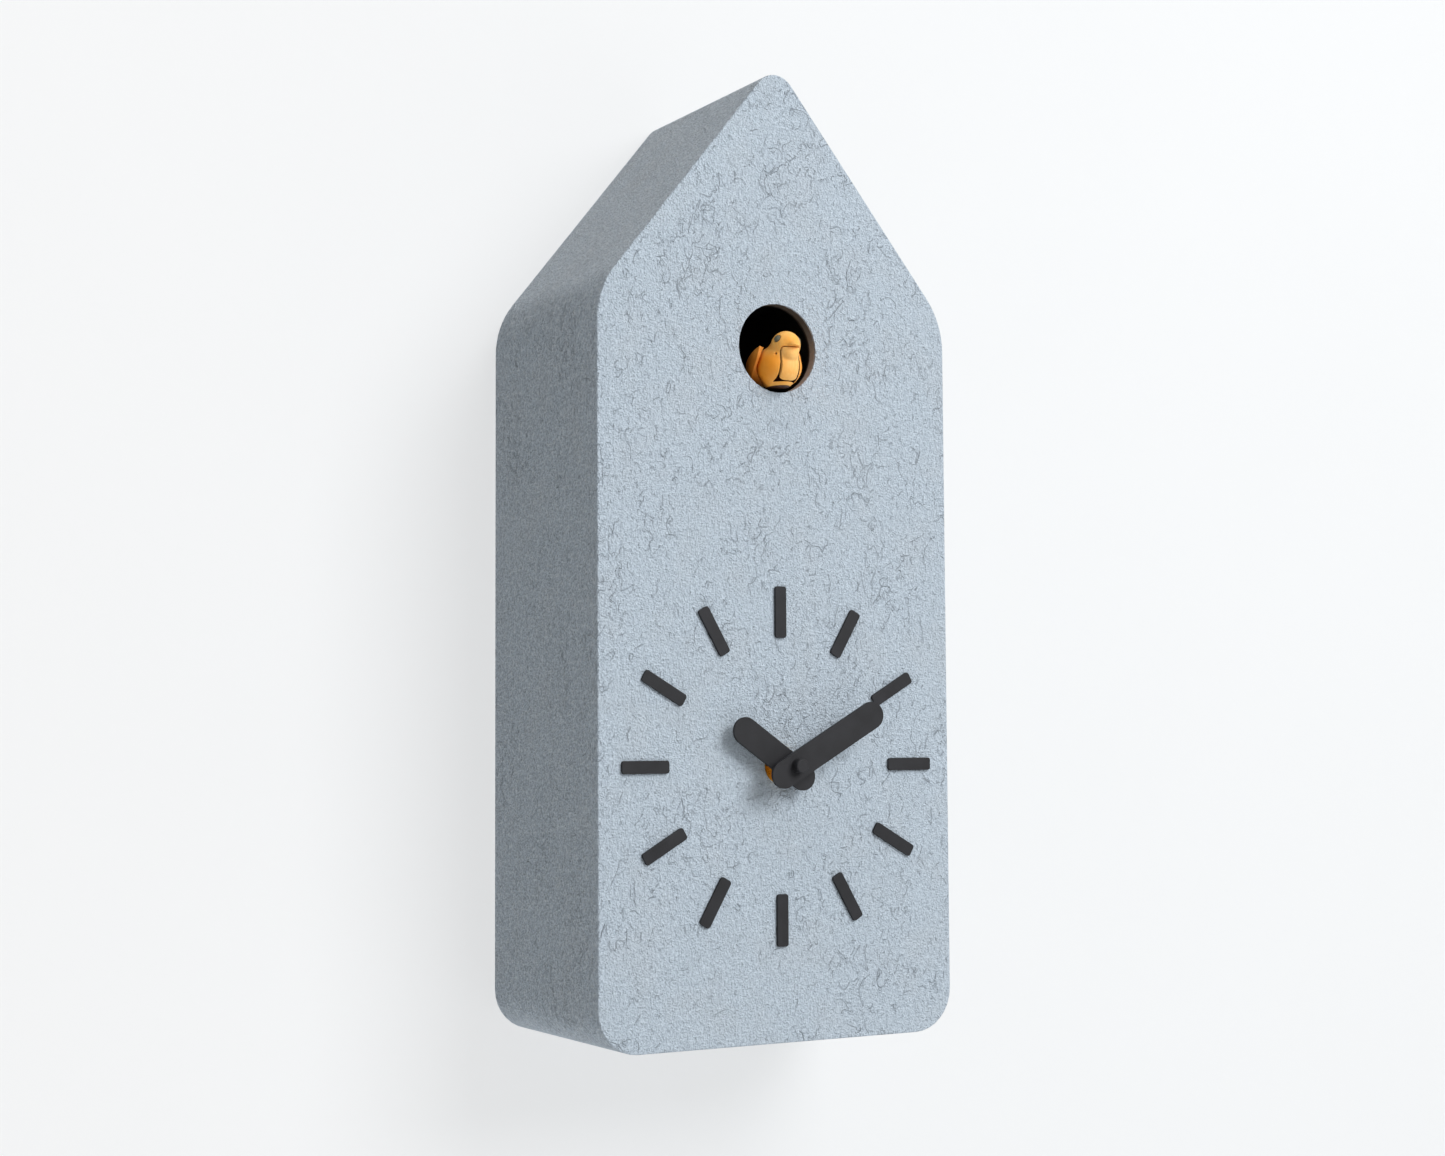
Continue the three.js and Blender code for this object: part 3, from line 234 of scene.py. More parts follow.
# crumpled plaster: fine hatching, with seams in clusters that thicken towards the top
def plasterFinish():
    v = plasterValues
    finish = Finish("plaster", v["roughness"], specular=v["specular"])
    place = finish.place()
    crumbs = finish.grain(place, v["crumbs"], 2.0)
    clots = finish.grain(place, v["clots"], 2.0, 0.5)
    lumps = finish.grain(place, v["lumps"], 2.0, 0.5)
    hatch, crossHatch = (finish.grain(finish.mapped(kind["stretch"], kind["turn"]), kind["scale"], 2.0, 0.5)
                         for kind in (v["hatch"], v["crossHatch"]))
    surface = crumbs * 3.0 + clots * 1.3 + hatch * 1.1 + crossHatch * 0.9 + lumps

    upper = finish.ramp(finish.axis(2), -0.3, 0.03, -0.01, 0.025)
    cluster = finish.grain(place, v["clusters"], 2.0) * 0.5 - 0.25 + upper
    leaning = finish.mapped(v["seamStretch"], v["seamTurn"])
    seamShading = 0.0
    for kind in (v["coarseSeams"], v["fineSeams"]):
        moved = finish.node("ShaderNodeVectorMath", {"operation": "ADD"}, {0: leaning, 1: kind["shift"]})
        furrow, lip = seams(finish, moved, kind["scale"], kind["width"], cluster)
        surface = surface - furrow * v["furrow"] + lip * v["lip"]
        # painted shade darkens each seam's furrow
        seamShading = furrow * v["seamShade"] + seamShading

    # a fine speckle from pale to a painted shade, standing in for the shading of the fine relief
    tone = finish.mix(finish.ramp(crumbs * 0.6 + clots * 0.4, 0.36, 0.64), v["shade"], v["pale"])
    blotches = finish.ramp(finish.grain(place, v["blotches"], 2.0), 0.42, 0.7, 0.0, v["warmShare"])
    tone = finish.mix(blotches, tone, v["warm"])
    # painted highlights and painted shade on the grain behind the front, where little light falls to show the
    # relief
    behind = finish.ramp(finish.axis(1), *(places["front"] + depth for depth in v["sideDepth"]))
    sidePaintedShading = behind * v["sideContrast"]
    tone = finish.mix(sidePaintedShading * finish.ramp(clots, 0.5, 0.66), tone, v["crest"])
    tone = finish.mix(sidePaintedShading * (1 - finish.ramp(crumbs, 0.34, 0.5)), tone, v["deep"])
    finish.colour(finish.mix(seamShading, tone, v["deep"]))
    finish.bump(surface, v["relief"])
    return finish.material


boardValues = {"pale": linear("a68f76"), "deep": linear("7c6650"), "roughness": 0.85, "relief": 0.08 * mm}


def boardFinish():
    v = boardValues
    finish = Finish("board", v["roughness"])
    fibres = finish.grain(finish.mapped((1.0, 1.0, 0.12)), 420.0, 4.0, 0.65)
    flecks = finish.grain(finish.place(), 1500.0, 2.0)
    finish.colour(finish.mix(finish.ramp(fibres * 0.6 + flecks * 0.5, 0.35, 0.75), v["deep"], v["pale"]))
    finish.bump(fibres + flecks, v["relief"])
    return finish.material


cutEdgeValues = {
    "pale": linear("c4c1bd"), "dull": linear("a5a19d"), "shaded": linear("5d564f"), "deep": linear("2a2420"),
    "bareDepth": (4.4 * mm, 5.2 * mm), "shadedRise": (-4 * mm, 15 * mm), "roughness": 0.9, "relief": 0.1 * mm,
}


# the cut edge in the round opening: bare near the front, with painted shade towards its top, and dark behind
def cutEdgeFinish():
    v = cutEdgeValues
    finish = Finish("cutEdge", v["roughness"])
    flecks = finish.grain(finish.place(), 1400.0)
    behind = finish.ramp(finish.axis(1), *(places["front"] + depth for depth in v["bareDepth"]))
    # painted shade on the upper part of the edge, which the light from above leaves in shadow
    above = finish.ramp(finish.axis(2), *(places["holeCentre"].z + rise for rise in v["shadedRise"]))
    bare = finish.mix(above, finish.mix(flecks, v["dull"], v["pale"]), v["shaded"])
    finish.colour(finish.mix(behind, bare, v["deep"]))
    finish.bump(flecks, v["relief"])
    return finish.material


charcoalValues = {
    "pale": linear("28282c"), "deep": linear("1a1a1d"), "specular": 0.35, "roughness": (0.5, 0.72),
    "relief": 0.06 * mm,
}


def charcoalFinish():
    v = charcoalValues
    finish = Finish("charcoal", v["roughness"][0], specular=v["specular"])
    speckle = finish.grain(finish.place(), 2600.0, 3.0, 0.7)
    cloud = finish.grain(finish.place(), 90.0, 2.0, 0.5)
    finish.colour(finish.mix(finish.ramp(speckle * 0.6 + cloud * 0.4, 0.35, 0.65), v["deep"], v["pale"]))
    finish.roughness(finish.ramp(speckle, 0.3, 0.7, *v["roughness"]))
    finish.bump(speckle, v["relief"])
    return finish.material


metalValues = {
    "brass": {"pale": linear("e0ad4c"), "deep": linear("b9822a"), "roughness": 0.26, "streak": (1, 0.2, 1)},
    "steel": {"pale": linear("b5b7ba"), "deep": linear("85878a"), "roughness": 0.34, "streak": (1, 1, 0.3)},
}


# brushed along one axis, and worn in patches
def metalFinish(name):
    v = metalValues[name]
    finish = Finish(name, v["roughness"], metallic=1.0)
    lines = finish.grain(finish.mapped(v["streak"]), 1600.0)
    wear = finish.grain(finish.place(), 160.0)
    finish.colour(finish.mix(finish.ramp(lines * 0.8 + wear * 0.2, 0.3, 0.7), v["deep"], v["pale"]))
    finish.roughness(finish.ramp(wear, 0.3, 0.7, v["roughness"] * 0.9, v["roughness"] * 1.15))
    finish.bump(lines, 0.02 * mm)
    return finish.material


plasticValues = {
    "blackPlastic": {"pale": linear("202124"), "deep": linear("141416"), "roughness": 0.5},
    "greyPlastic": {"pale": linear("60656a"), "deep": linear("4a4e52"), "roughness": 0.5},
    "whitePlastic": {"pale": linear("efece4"), "deep": linear("dad7cd"), "roughness": 0.42},
    # black plastic made darker still, as painted shade inside the opening
    "darkInside": {"pale": linear("0a0a0b"), "deep": linear("050505"), "roughness": 0.8},
    "pinEnd": {"pale": linear("4a2410"), "deep": linear("2f1408"), "roughness": 0.5},
}


# finely eroded mouldings
def plasticFinish(name):
    v = plasticValues[name]
    finish = Finish(name, v["roughness"])
    fine = finish.grain(finish.place(), 2200.0, 2.0)
    cloud = finish.grain(finish.place(), 55.0, 2.0, 0.5)
    finish.colour(finish.mix(finish.ramp(fine * 0.5 + cloud * 0.5, 0.35, 0.65), v["deep"], v["pale"]))
    finish.roughness(finish.ramp(fine, 0.3, 0.7, v["roughness"] * 0.85, v["roughness"] * 1.15))
    finish.bump(fine, 0.03 * mm)
    return finish.material


plainValues = {
    "eye": {"pale": linear("7a7864"), "deep": linear("4d4b3d"), "roughness": 0.45, "specular": 0.3,
            "scale": 1800.0, "detail": 2.0, "rough": 0.6, "relief": 0.03 * mm},
    "paper": {"pale": linear("35353a"), "deep": linear("17171a"), "roughness": 0.9, "specular": 0.5,
              "scale": 900.0, "detail": 4.0, "rough": 0.65, "relief": 0.12 * mm},
}


# one fine grain in tone and relief
def plainFinish(name):
    v = plainValues[name]
    finish = Finish(name, v["roughness"], specular=v["specular"])
    fine = finish.grain(finish.place(), v["scale"], v["detail"], v["rough"])
    finish.colour(finish.mix(fine, v["deep"], v["pale"]))
    finish.bump(fine, v["relief"])
    return finish.material


cellValues = {
    "jacket": linear("20262c"), "band": linear("5b7d92"), "worn": linear("8fa0ab"), "bare": linear("b4b6b8"),
    "bareDrop": (2.35 * mm, 1.75 * mm), "bandDrop": (18.75 * mm, 18.35 * mm),  # from the top of the cell
    "wear": 0.25, "roughness": (0.24, 0.36), "relief": 0.02 * mm,
}


# a plain jacket in two colours, with a bare metal end
def cellFinish():
    v = cellValues
    finish = Finish("cell", v["roughness"][0])
    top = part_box("battery_left")[1].z
    bare = finish.ramp(finish.axis(2), *(top - drop for drop in v["bareDrop"]))
    banded = finish.ramp(finish.axis(2), *(top - drop for drop in v["bandDrop"]))
    fine = finish.grain(finish.place(), 1200.0, 2.0)
    jacket = finish.mix(fine * v["wear"], finish.mix(banded, v["jacket"], v["band"]), v["worn"])
    finish.colour(finish.mix(bare, jacket, v["bare"]))
    finish.plug(bare, finish.shader.inputs["Metallic"])
    finish.roughness(finish.ramp(fine, 0.3, 0.7, *v["roughness"]))
    finish.bump(fine, v["relief"])
    return finish.material


finishes = {
    "plaster": plasterFinish(),
    "board": boardFinish(),
    "charcoal": charcoalFinish(),
    "brass": metalFinish("brass"),
    "steel": metalFinish("steel"),
    "black_plastic": plasticFinish("blackPlastic"),
    "grey_plastic": plasticFinish("greyPlastic"),
    "white_plastic": plasticFinish("whitePlastic"),
    "eye": plainFinish("eye"),
    "paper": plainFinish("paper"),
    "cell": cellFinish(),
    "cutEdge": cutEdgeFinish(),
    "dark": plasticFinish("darkInside"),
    "pin": plasticFinish("pinEnd"),
}
print("finishes made:", len(finishes))


def objectFrom(name, form):
    mesh = bpy.data.meshes.new(name)
    form.to_mesh(mesh)
    form.free()
    piece = bpy.data.objects.new(name, mesh)
    bpy.context.scene.collection.objects.link(piece)
    return piece


# a piece that rides on its body, and stands for the nodes that are given
def finished(name, form, material, body, slotName, *nodes):
    piece = objectFrom(name, form)
    piece.data.materials.append(material)
    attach(piece, body)
    if nodes:
        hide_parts(*nodes)
    return piece


# smooth shading that keeps edges sharper than the angle
def shaded(form, degrees=32):
    limit = math.radians(degrees)
    for face in form.faces:
        face.smooth = True
    for edge in form.edges:
        edge.smooth = edge.calc_face_angle(math.pi) < limit


# flat faces stay flat beside their rounded edges
def evened(piece):
    change = piece.modifiers.new("evened", "WEIGHTED_NORMAL")
    change.keep_sharp = True


# a copy of a node's mesh, merged, with level triangles joined into faces
def copied(node):
    form = bmesh.new()
    form.from_mesh(frame["nodes"][node].data)
    bmesh.ops.remove_doubles(form, verts=form.verts, dist=1e-6)
    bmesh.ops.dissolve_limit(form, angle_limit=math.radians(0.6), verts=form.verts, edges=form.edges)
    return form


def bevelled(form, edges, width, segments):
    bmesh.ops.bevel(form, geom=edges, offset=width, segments=segments, profile=0.5, affect="EDGES",
                    material=-1, clamp_overlap=True)


# eases every edge that turns by more than 35 degrees
def softened(form, width):
    bevelled(form, [edge for edge in form.edges if edge.calc_face_angle(0) > math.radians(35)], width, 2)


# the form after a stack of modifiers, each a type and its settings
def changed(form, *changes):
    piece = objectFrom("scratch", form)
    for kind, settings in changes:
        change = piece.modifiers.new("change", kind)
        for key, value in settings.items():
            setattr(change, key, value)
    graph = bpy.context.evaluated_depsgraph_get()
    mesh = bpy.data.meshes.new_from_object(piece.evaluated_get(graph))
    result = bmesh.new()
    result.from_mesh(mesh)
    bpy.data.meshes.remove(mesh)
    bpy.data.objects.remove(piece)
    return result


# adds, cuts or keeps what closed forms share
def combined(form, *steps):
    tools = [(operation, objectFrom("tool", tool)) for operation, tool in steps]
    result = changed(form, *(("BOOLEAN", {"operation": operation, "solver": "MANIFOLD", "object": tool})
                             for operation, tool in tools))
    for _, tool in tools:
        bpy.data.objects.remove(tool)
    return result


# an outline of (radius, height) points in millimetres, turned about the Z of its place
def spunForm(outline, steps, place):
    form = bmesh.new()
    points = [form.verts.new(Vector((radius, 0, height)) * mm) for radius, height in outline]
    edges = [form.edges.new(pair) for pair in zip(points, points[1:])]
    bmesh.ops.spin(form, geom=points + edges, cent=(0, 0, 0), axis=(0, 0, 1), angle=math.tau, steps=steps,
                   use_merge=True)
    bmesh.ops.remove_doubles(form, verts=form.verts, dist=1e-7)
    bmesh.ops.recalc_face_normals(form, faces=form.faces)
    bmesh.ops.transform(form, matrix=place, verts=form.verts)
    return form


# a block round the middle of its place, in millimetres
def blockForm(size, place):
    form = bmesh.new()
    bmesh.ops.create_cube(form, size=1.0)
    bmesh.ops.transform(form, matrix=place @ Matrix.Diagonal((*(v * mm for v in size), 1)), verts=form.verts)
    return form


# takes a node's place with its own solid, its edges eased, and then cut or added to
def reworked(node, ending, width, *steps):
    form = copied(node)
    softened(form, width)
    if steps:
        form = combined(form, *steps)
    shaded(form)
    slotName = slotOfNode[node]
    evened(finished(node + ending, form, finishes[slotName], bodyOfNode[node], slotName, node))


easedWidths = {
    "hour_hand": 0.22, "minute_hand": 0.22, "hand_cap": 0.15, "mounting_nut": 0.25, "dial_washer": 0.12,
    "hanger_plate": 0.2, "night_switch": 0.2, "speaker_magnet": 0.4, "bird_carriage": 0.2,
    **{f"hour_bar_{hour}": 0.2 for hour in range(1, 13)},
}

for node, width in easedWidths.items():
    reworked(node, "Eased", width * mm)
print("edges eased:", len(easedWidths))


# a place whose Z points backwards, which is outwards for everything on the back
def onBack(x, y, z):
    return Matrix.Translation((x, y, z)) @ Matrix.Rotation(math.radians(-90), 4, "X")


# the rearmost point over a node's middle
def rearOf(node):
    low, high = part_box(node)
    return (low.x + high.x) / 2, high.y, (low.z + high.z) / 2


screwValues = {
    "turns": {"back_screw_lower_left": 24, "back_screw_lower_right": -52, "back_screw_upper_left": 71,
              "back_screw_upper_right": 8, "hanger_screw_left": -33, "hanger_screw_right": 64},
    "radius": 3.0, "crown": 0.75, "slotWidth": 0.8, "shank": 1.5, "neck": 1, "thread": 1.12, "pitch": 0.9,
    "back": {"head": 1.6, "slot": 0.7}, "hanger": {"head": 0.45, "slot": 0.4},
}


# slotted heads, each left at its own angle, on threaded shanks
def makeScrew(node, turn):
    v = screwValues
    kind = v[node.split("_")[0]]
    head, shank, thread, pitch = kind["head"], v["shank"], v["thread"], v["pitch"]
    low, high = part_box(node)
    length = (high.y - low.y) / mm
    outline = [(0, 0)]
    for angle in (math.radians(degrees) for degrees in range(15, 91, 15)):
        outline.append((v["radius"] * math.sin(angle), -head * v["crown"] * (1 - math.cos(angle))))
    outline += [(v["radius"], -head), (shank, -head), (shank, -head - v["neck"])]
    down = head + v["neck"]
    while down + pitch < length - shank:
        outline += [(thread, -down - pitch / 2), (shank, -down - pitch)]
        down += pitch
    outline += [(thread, -down - pitch / 2), (0, -length)]
    place = onBack(*rearOf(node))
    slot = blockForm((v["radius"] * 3, v["slotWidth"], kind["slot"] * 2),
                     place @ Matrix.Rotation(math.radians(turn), 4, "Z"))
    form = combined(spunForm(outline, 36, place), ("DIFFERENCE", slot))
    shaded(form)
    finished(node + "Turned", form, finishes["steel"], "root", "steel", node)


for node, turn in screwValues["turns"].items():
    makeScrew(node, turn)
print("screws made:", len(screwValues["turns"]))


knobValues = {
    "dishRadius": {"setting_knob": 4.6, "volume_knob": 3.22}, "dishDepth": 0.5, "dishSlope": 1, "edge": 0.15,
}


# knobs with a dished face
def makeKnobs():
    v = knobValues
    depth = v["dishDepth"]
    for node, radius in v["dishRadius"].items():
        dish = [(0, -depth), (radius - v["dishSlope"], -depth), (radius, 0), (radius + 0.4, 0.6), (0, 0.6)]
        reworked(node, "Worked", v["edge"] * mm, ("DIFFERENCE", spunForm(dish, 48, onBack(*rearOf(node)))))


rearShellValues = {
    "edge": 0.3,
    "collarGap": 1.3, "collarWidth": 1.1, "collarRise": 0.5, "collarFoot": 0.3,
    "vents": 5, "ventPitch": 2.6, "ventSize": (12, 1.1, 1.4), "ventPlace": (15, 26),
    "marks": ((-21, 31), (-21, -31), (18, 31), (18, -31)), "markRadius": 1.5, "markDepth": 0.25,
}


# the rear of the movement: a collar round each knob, vents and round moulding marks
def makeRearShell():
    v = rearShellValues
    shell = copied("movement_rear_shell")
    face = max((face for face in shell.faces if face.normal.y > 0.99), key=lambda face: face.calc_area())
    back = face.calc_center_median().y
    shell.free()
    centre = places["dialCentre"]
    steps = []
    for node in knobValues["dishRadius"]:
        low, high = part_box(node)
        inner = (high.x - low.x) / 2 / mm + v["collarGap"]
        outer, foot, rise = inner + v["collarWidth"], -v["collarFoot"], v["collarRise"]
        ring = [(inner, foot), (outer, foot), (outer - 0.2, rise), (inner + 0.1, rise), (inner, foot)]
        place = onBack((low.x + high.x) / 2, back, (low.z + high.z) / 2)
        steps.append(("UNION", spunForm(ring, 64, place)))
    x, z = v["ventPlace"]
    for i in range(v["vents"]):
        place = onBack(x * mm, back, centre.z + (z - i * v["ventPitch"]) * mm)
        steps.append(("DIFFERENCE", blockForm(v["ventSize"], place)))
    mark = [(0, -v["markDepth"]), (v["markRadius"], -v["markDepth"]), (v["markRadius"], 0.5), (0, 0.5)]
    for x, z in v["marks"]:
        place = onBack(x * mm, back, centre.z + z * mm)
        steps.append(("DIFFERENCE", spunForm(mark, 28, place)))
    reworked("movement_rear_shell", "Worked", v["edge"] * mm, *steps)


lidValues = {
    "edge": 0.3, "gripRise": 1.4, "ribs": 8, "ribPitch": 2.4, "ribFoot": 8, "ribLength": 21, "ribRise": 0.45,
    "ribWidth": 1.0,
}


# the cell lid, with ribs for the thumb
def makeLid():
    v = lidValues
    low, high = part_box("battery_lid")
    face = high.y - v["gripRise"] * mm
    ribs = []
    for i in range(v["ribs"]):
        height = low.z + (v["ribFoot"] + i * v["ribPitch"]) * mm
        ribs.append(("UNION", blockForm((v["ribLength"], v["ribRise"] * 2, v["ribWidth"]),
                                        Matrix.Translation(((low.x + high.x) / 2, face, height)))))
    reworked("battery_lid", "Worked", v["edge"] * mm, *ribs)


makeKnobs()
makeRearShell()
makeLid()
print("movement back made")


springValues = {
    "room": 2.5, "clearance": 0.1, "wire": 0.3, "turns": 3, "steps": 28, "wide": 3.4, "narrow": 1.7,
}


# a coiled spring under a cell
def makeSpring(node):
    v = springValues
    low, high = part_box(node)
    rise = (v["room"] - 2 * v["wire"] - 2 * v["clearance"]) * mm
    form = bmesh.new()
    start = Matrix.Translation((v["wide"] * mm, 0, 0)) @ Matrix.Rotation(math.radians(90), 4, "X")
    ring = bmesh.ops.create_circle(form, cap_ends=True, segments=10, radius=v["wire"] * mm, matrix=start)
    steps = v["turns"] * v["steps"]
    bmesh.ops.spin(form, geom=ring["verts"] + form.edges[:] + form.faces[:], cent=(0, 0, 0), axis=(0, 0, 1),
                   angle=math.tau * v["turns"], steps=steps, dvec=(0, 0, rise / steps))
    for vert in form.verts:  # narrower towards the cell
        reach = Vector((vert.co.x, vert.co.y))
        taper = (v["wide"] - v["narrow"]) * mm * min(max(vert.co.z / rise, 0), 1)
        vert.co.xy = reach.normalized() * (reach.length - taper)
    bmesh.ops.recalc_face_normals(form, faces=form.faces)
    foot = low.z - (v["room"] - v["wire"] - v["clearance"]) * mm
    bmesh.ops.translate(form, verts=form.verts, vec=((low.x + high.x) / 2, (low.y + high.y) / 2, foot))
    shaded(form, 60)
    finished(node + "Spring", form, finishes["steel"], "root", "steel")


leafValues = {
    "strip": ((-5.2, 2.1), (-3, 2.1), (-1.2, 0.4), (1.2, 0.4), (3, 2.1), (5.2, 2.1)),  # from the side
    "half": 3, "thickness": 0.3, "edge": 0.08,
}


# a bent contact leaf above a cell
def makeLeaf(node):
    v = leafValues
    low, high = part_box(node)
    form = bmesh.new()
    points = [form.verts.new(Vector((-v["half"], y, z)) * mm) for y, z in v["strip"]]
    edges = [form.edges.new(pair) for pair in zip(points, points[1:])]
    pushed = bmesh.ops.extrude_edge_only(form, edges=edges)
    bmesh.ops.translate(form, verts=[g for g in pushed["geom"] if isinstance(g, bmesh.types.BMVert)],
                        vec=(v["half"] * 2 * mm, 0, 0))
    bmesh.ops.recalc_face_normals(form, faces=form.faces)
    bmesh.ops.solidify(form, geom=form.faces[:], thickness=v["thickness"] * mm)
    bmesh.ops.recalc_face_normals(form, faces=form.faces)
    bmesh.ops.translate(form, verts=form.verts, vec=((low.x + high.x) / 2, (low.y + high.y) / 2, high.z))
    softened(form, v["edge"] * mm)
    shaded(form)
    finished(node + "Leaf", form, finishes["steel"], "root", "steel")


for node in ("battery_left", "battery_right"):
    makeSpring(node)
    makeLeaf(node)
print("contacts made")


skinValues = {"rim": 0.75 * mm, "segments": 4, "holeMargin": 1 * mm, "leastTurn": 1.0}  # the turn in radians


# the front covering with its outer rim rolled over
def makeFrontSkin():
    v = skinValues
    form = copied("front_covering")
    openings = ((places["holeCentre"], places["holeRadius"]), (places["dialCentre"], places["boreRadius"]))

    def onRim(edge):
        if any(abs(vert.co.y - places["front"]) > 1e-6 for vert in edge.verts):
            return False
        middle = (edge.verts[0].co + edge.verts[1].co) / 2
        atOpening = any(math.hypot(middle.x - centre.x, middle.z - centre.z) < radius + v["holeMargin"]
                        for centre, radius in openings)
        return not atOpening and edge.calc_face_angle(0) > v["leastTurn"]

    bevelled(form, [edge for edge in form.edges if onRim(edge)], v["rim"], v["segments"])
    shaded(form)
    evened(finished("frontSkin", form, finishes["plaster"], "root", "plaster", "front_covering"))


makeFrontSkin()
print("covering made")


# ellipsoids in millimetres: forward of the front face and up from the middle of the opening
birdForms = {
    "chest": {"half": (9.2, 10.3, 8.9), "forward": 1.4, "rise": -8.3, "tilt": 0},
    "shoulders": {"half": (8.6, 11, 6.6), "forward": -1, "rise": -5.6, "tilt": -8},
    "belly": {"half": (6.9, 10.5, 9), "forward": 0, "rise": -9.6, "tilt": 0},
    "rump": {"half": (7.4, 11.5, 5.4), "forward": -9.5, "rise": -8.8, "tilt": -14},
    "tail": {"half": (4.6, 8.5, 1.7), "forward": -18, "rise": -10.6, "tilt": -16},
    "head": {"half": (6.1, 6.9, 6.15), "forward": 6.5, "rise": 0.1, "tilt": 0},
    "cheeks": {"half": (4.9, 5.6, 4.6), "forward": 8.3, "rise": 0.6, "tilt": 0},
    "nape": {"half": (6, 6, 8.2), "forward": 2.2, "rise": -4.2, "tilt": 0},
    "neck": {"half": (7.6, 8.6, 5.8), "forward": 3, "rise": -5, "tilt": 0},
    "upperBeak": {"half": (3.2, 6.6, 3.3), "forward": 9.8, "rise": -0.6, "tilt": 8},
    "lowerBill": {"half": (4.4, 5.4, 4.2), "forward": 8.2, "rise": -3.6, "tilt": 0},
    "wing": {"half": (11.2, 17, 13), "forward": -1.5, "rise": -7, "tilt": 0},
}
wholeBird = ("chest", "belly", "shoulders", "rump", "tail", "nape", "neck", "head")
birdValues = {
    "voxel": 0.32, "smoothing": 14, "footDrop": 16.8,
    "mouthDrop": 1.04, "hookDrop": 0.06, "hookBack": 12.2, "hookForward": 16,
    "rodRadius": 1.9, "rodLength": 40, "rodDepth": 2.2, "bodyVoxel": 0.26, "lastSmoothing": 2,
}
throatValues = {
    "halfWidth": 4.4, "length": 14.1, "gap": 0.36, "flare": 1.13, "thickness": 1.8,
    "back": 3.7, "forward": 15.4, "voxel": 0.2,
    "pinForward": 7.9, "pinDrop": 3.9, "pinRadius": 0.5, "pinGap": 0.05, "bossRadius": 1.5,
}
acrossX = Matrix.Rotation(math.radians(90), 4, "Y")
alongY = Matrix.Rotation(math.radians(90), 4, "X")


def inRow(x, forward, rise):
    return places["holeCentre"] + Vector((x, -forward, rise)) * mm


# a block between two corners
def boxForm(low, high):
    size = [b - a for a, b in zip(low, high)]
    middle = [(a + b) / 2 for a, b in zip(low, high)]
    return blockForm(size, Matrix.Translation(inRow(*middle)))


def rodForm(radius, length, place):
    form = bmesh.new()
    bmesh.ops.create_cone(form, cap_ends=True, segments=32, radius1=radius * mm, radius2=radius * mm,
                          depth=length * mm, matrix=place)
    return form


# the beak's pin, or the bore for it
def pinForm(radius, length):
    place = Matrix.Translation(inRow(0, throatValues["pinForward"], -throatValues["pinDrop"]))
    return rodForm(radius, length, place @ acrossX)


def ellipsoidForm(names):
    form = bmesh.new()
    for name in names:
        values = birdForms[name]
        made = bmesh.ops.create_icosphere(form, subdivisions=4, radius=1.0)
        scale = Matrix.Diagonal((*(h * mm for h in values["half"]), 1))
        turn = Matrix.Rotation(math.radians(values["tilt"]), 4, "X")
        place = Matrix.Translation(inRow(0, values["forward"], values["rise"]))
        bmesh.ops.transform(form, matrix=place @ turn @ scale, verts=made["verts"])
    return form


def remeshed(form, voxel, smoothing):
    return changed(form, ("REMESH", {"mode": "VOXEL", "voxel_size": voxel * mm}),
                   ("SMOOTH", {"factor": 0.5, "iterations": smoothing}))


# ellipsoids run together, and cut flat at the foot
def carvedForm(names):
    form = remeshed(ellipsoidForm(names), birdValues["voxel"], birdValues["smoothing"])
    return combined(form, ("DIFFERENCE", boxForm((-40, -60, -60), (40, 60, -birdValues["footDrop"]))))


def grown(form, distance):
    for vert in form.verts:
        vert.co = vert.co + vert.normal * (distance * mm)
    return form


eyeValues = {
    "radius": 1.45, "turn": 71, "lift": 24, "proud": 0.72, "length": 2.4, "boreGap": 0.2,
    # radius and drop of the bead, and then of the ring round it
    "bead": ((0, 0), (0.3, 0.02), (0.6, 0.08), (0.82, 0.2), (0.92, 0.3),
             (1.02, 0.24), (1.22, 0.36), (1.39, 0.56)),
}


# where an eye sits on the side of the head, with Z outwards
def eyePlace(side):
    head = birdForms["head"]
    turn = Matrix.Rotation(math.radians(side * eyeValues["turn"]), 4, "Z")
    lift = Matrix.Rotation(math.radians(-eyeValues["lift"]), 4, "X")
    reach = Matrix.Translation(Vector((0, -head["half"][0], 0)) * mm)
    return Matrix.Translation(inRow(0, head["forward"], head["rise"])) @ turn @ lift @ reach @ alongY


woodValues = {
    # in each wood, deep is a painted shade low on the flanks
    "birdWood": {"pale": linear("ffc46c"), "middle": linear("ffae48"), "deep": linear("ff9c20"),
                 # pocket is the colour of the painted shade in the throat's pocket
                 "pocket": linear("4a210c")},
    # the wings' wood is the body's wood made darker, as painted shade
    "wingWood": {"pale": linear("f2a548"), "middle": linear("e08a30"), "deep": linear("cf7a22")},
    # the throat plate's wood is the body's wood made lighter, as painted light
    "throatWood": {"pale": linear("ffcb7c"), "middle": linear("fbb45a"), "deep": linear("f6a84c")},
    # the colour under the foot is painted shade
    "underFoot": linear("3d1d05"), "footRise": (0.1 * mm, 0.4 * mm),
    "flank": (3 * mm, 8 * mm), "flankDrop": (6 * mm, 1 * mm), "flankShare": 0.9,
    "specular": 0.28, "roughness": (0.45, 0.62), "relief": 0.05 * mm,
}


# painted shade in the throat's pocket: one inside the pocket that the throat plate closes, nought outside it
def pocketShade(finish):
    v = throatValues
    fall = (places["holeCentre"].z - birdValues["mouthDrop"] * mm - finish.axis(2)) / (v["length"] * mm)
    reach = (fall * (v["flare"] - 1) + 1) * (v["halfWidth"] * mm)
    inside = 1 - finish.ramp(abs(finish.axis(0)) - reach, 0.06 * mm, 0.16 * mm)
    between = finish.ramp(fall, 0.035, 0.05) * (1 - finish.ramp(fall, 1.0, 1.01))
    back = v["back"] * mm - places["front"]
    return inside * between * finish.ramp(0 - finish.axis(1), back - 0.3 * mm, back - 0.2 * mm)
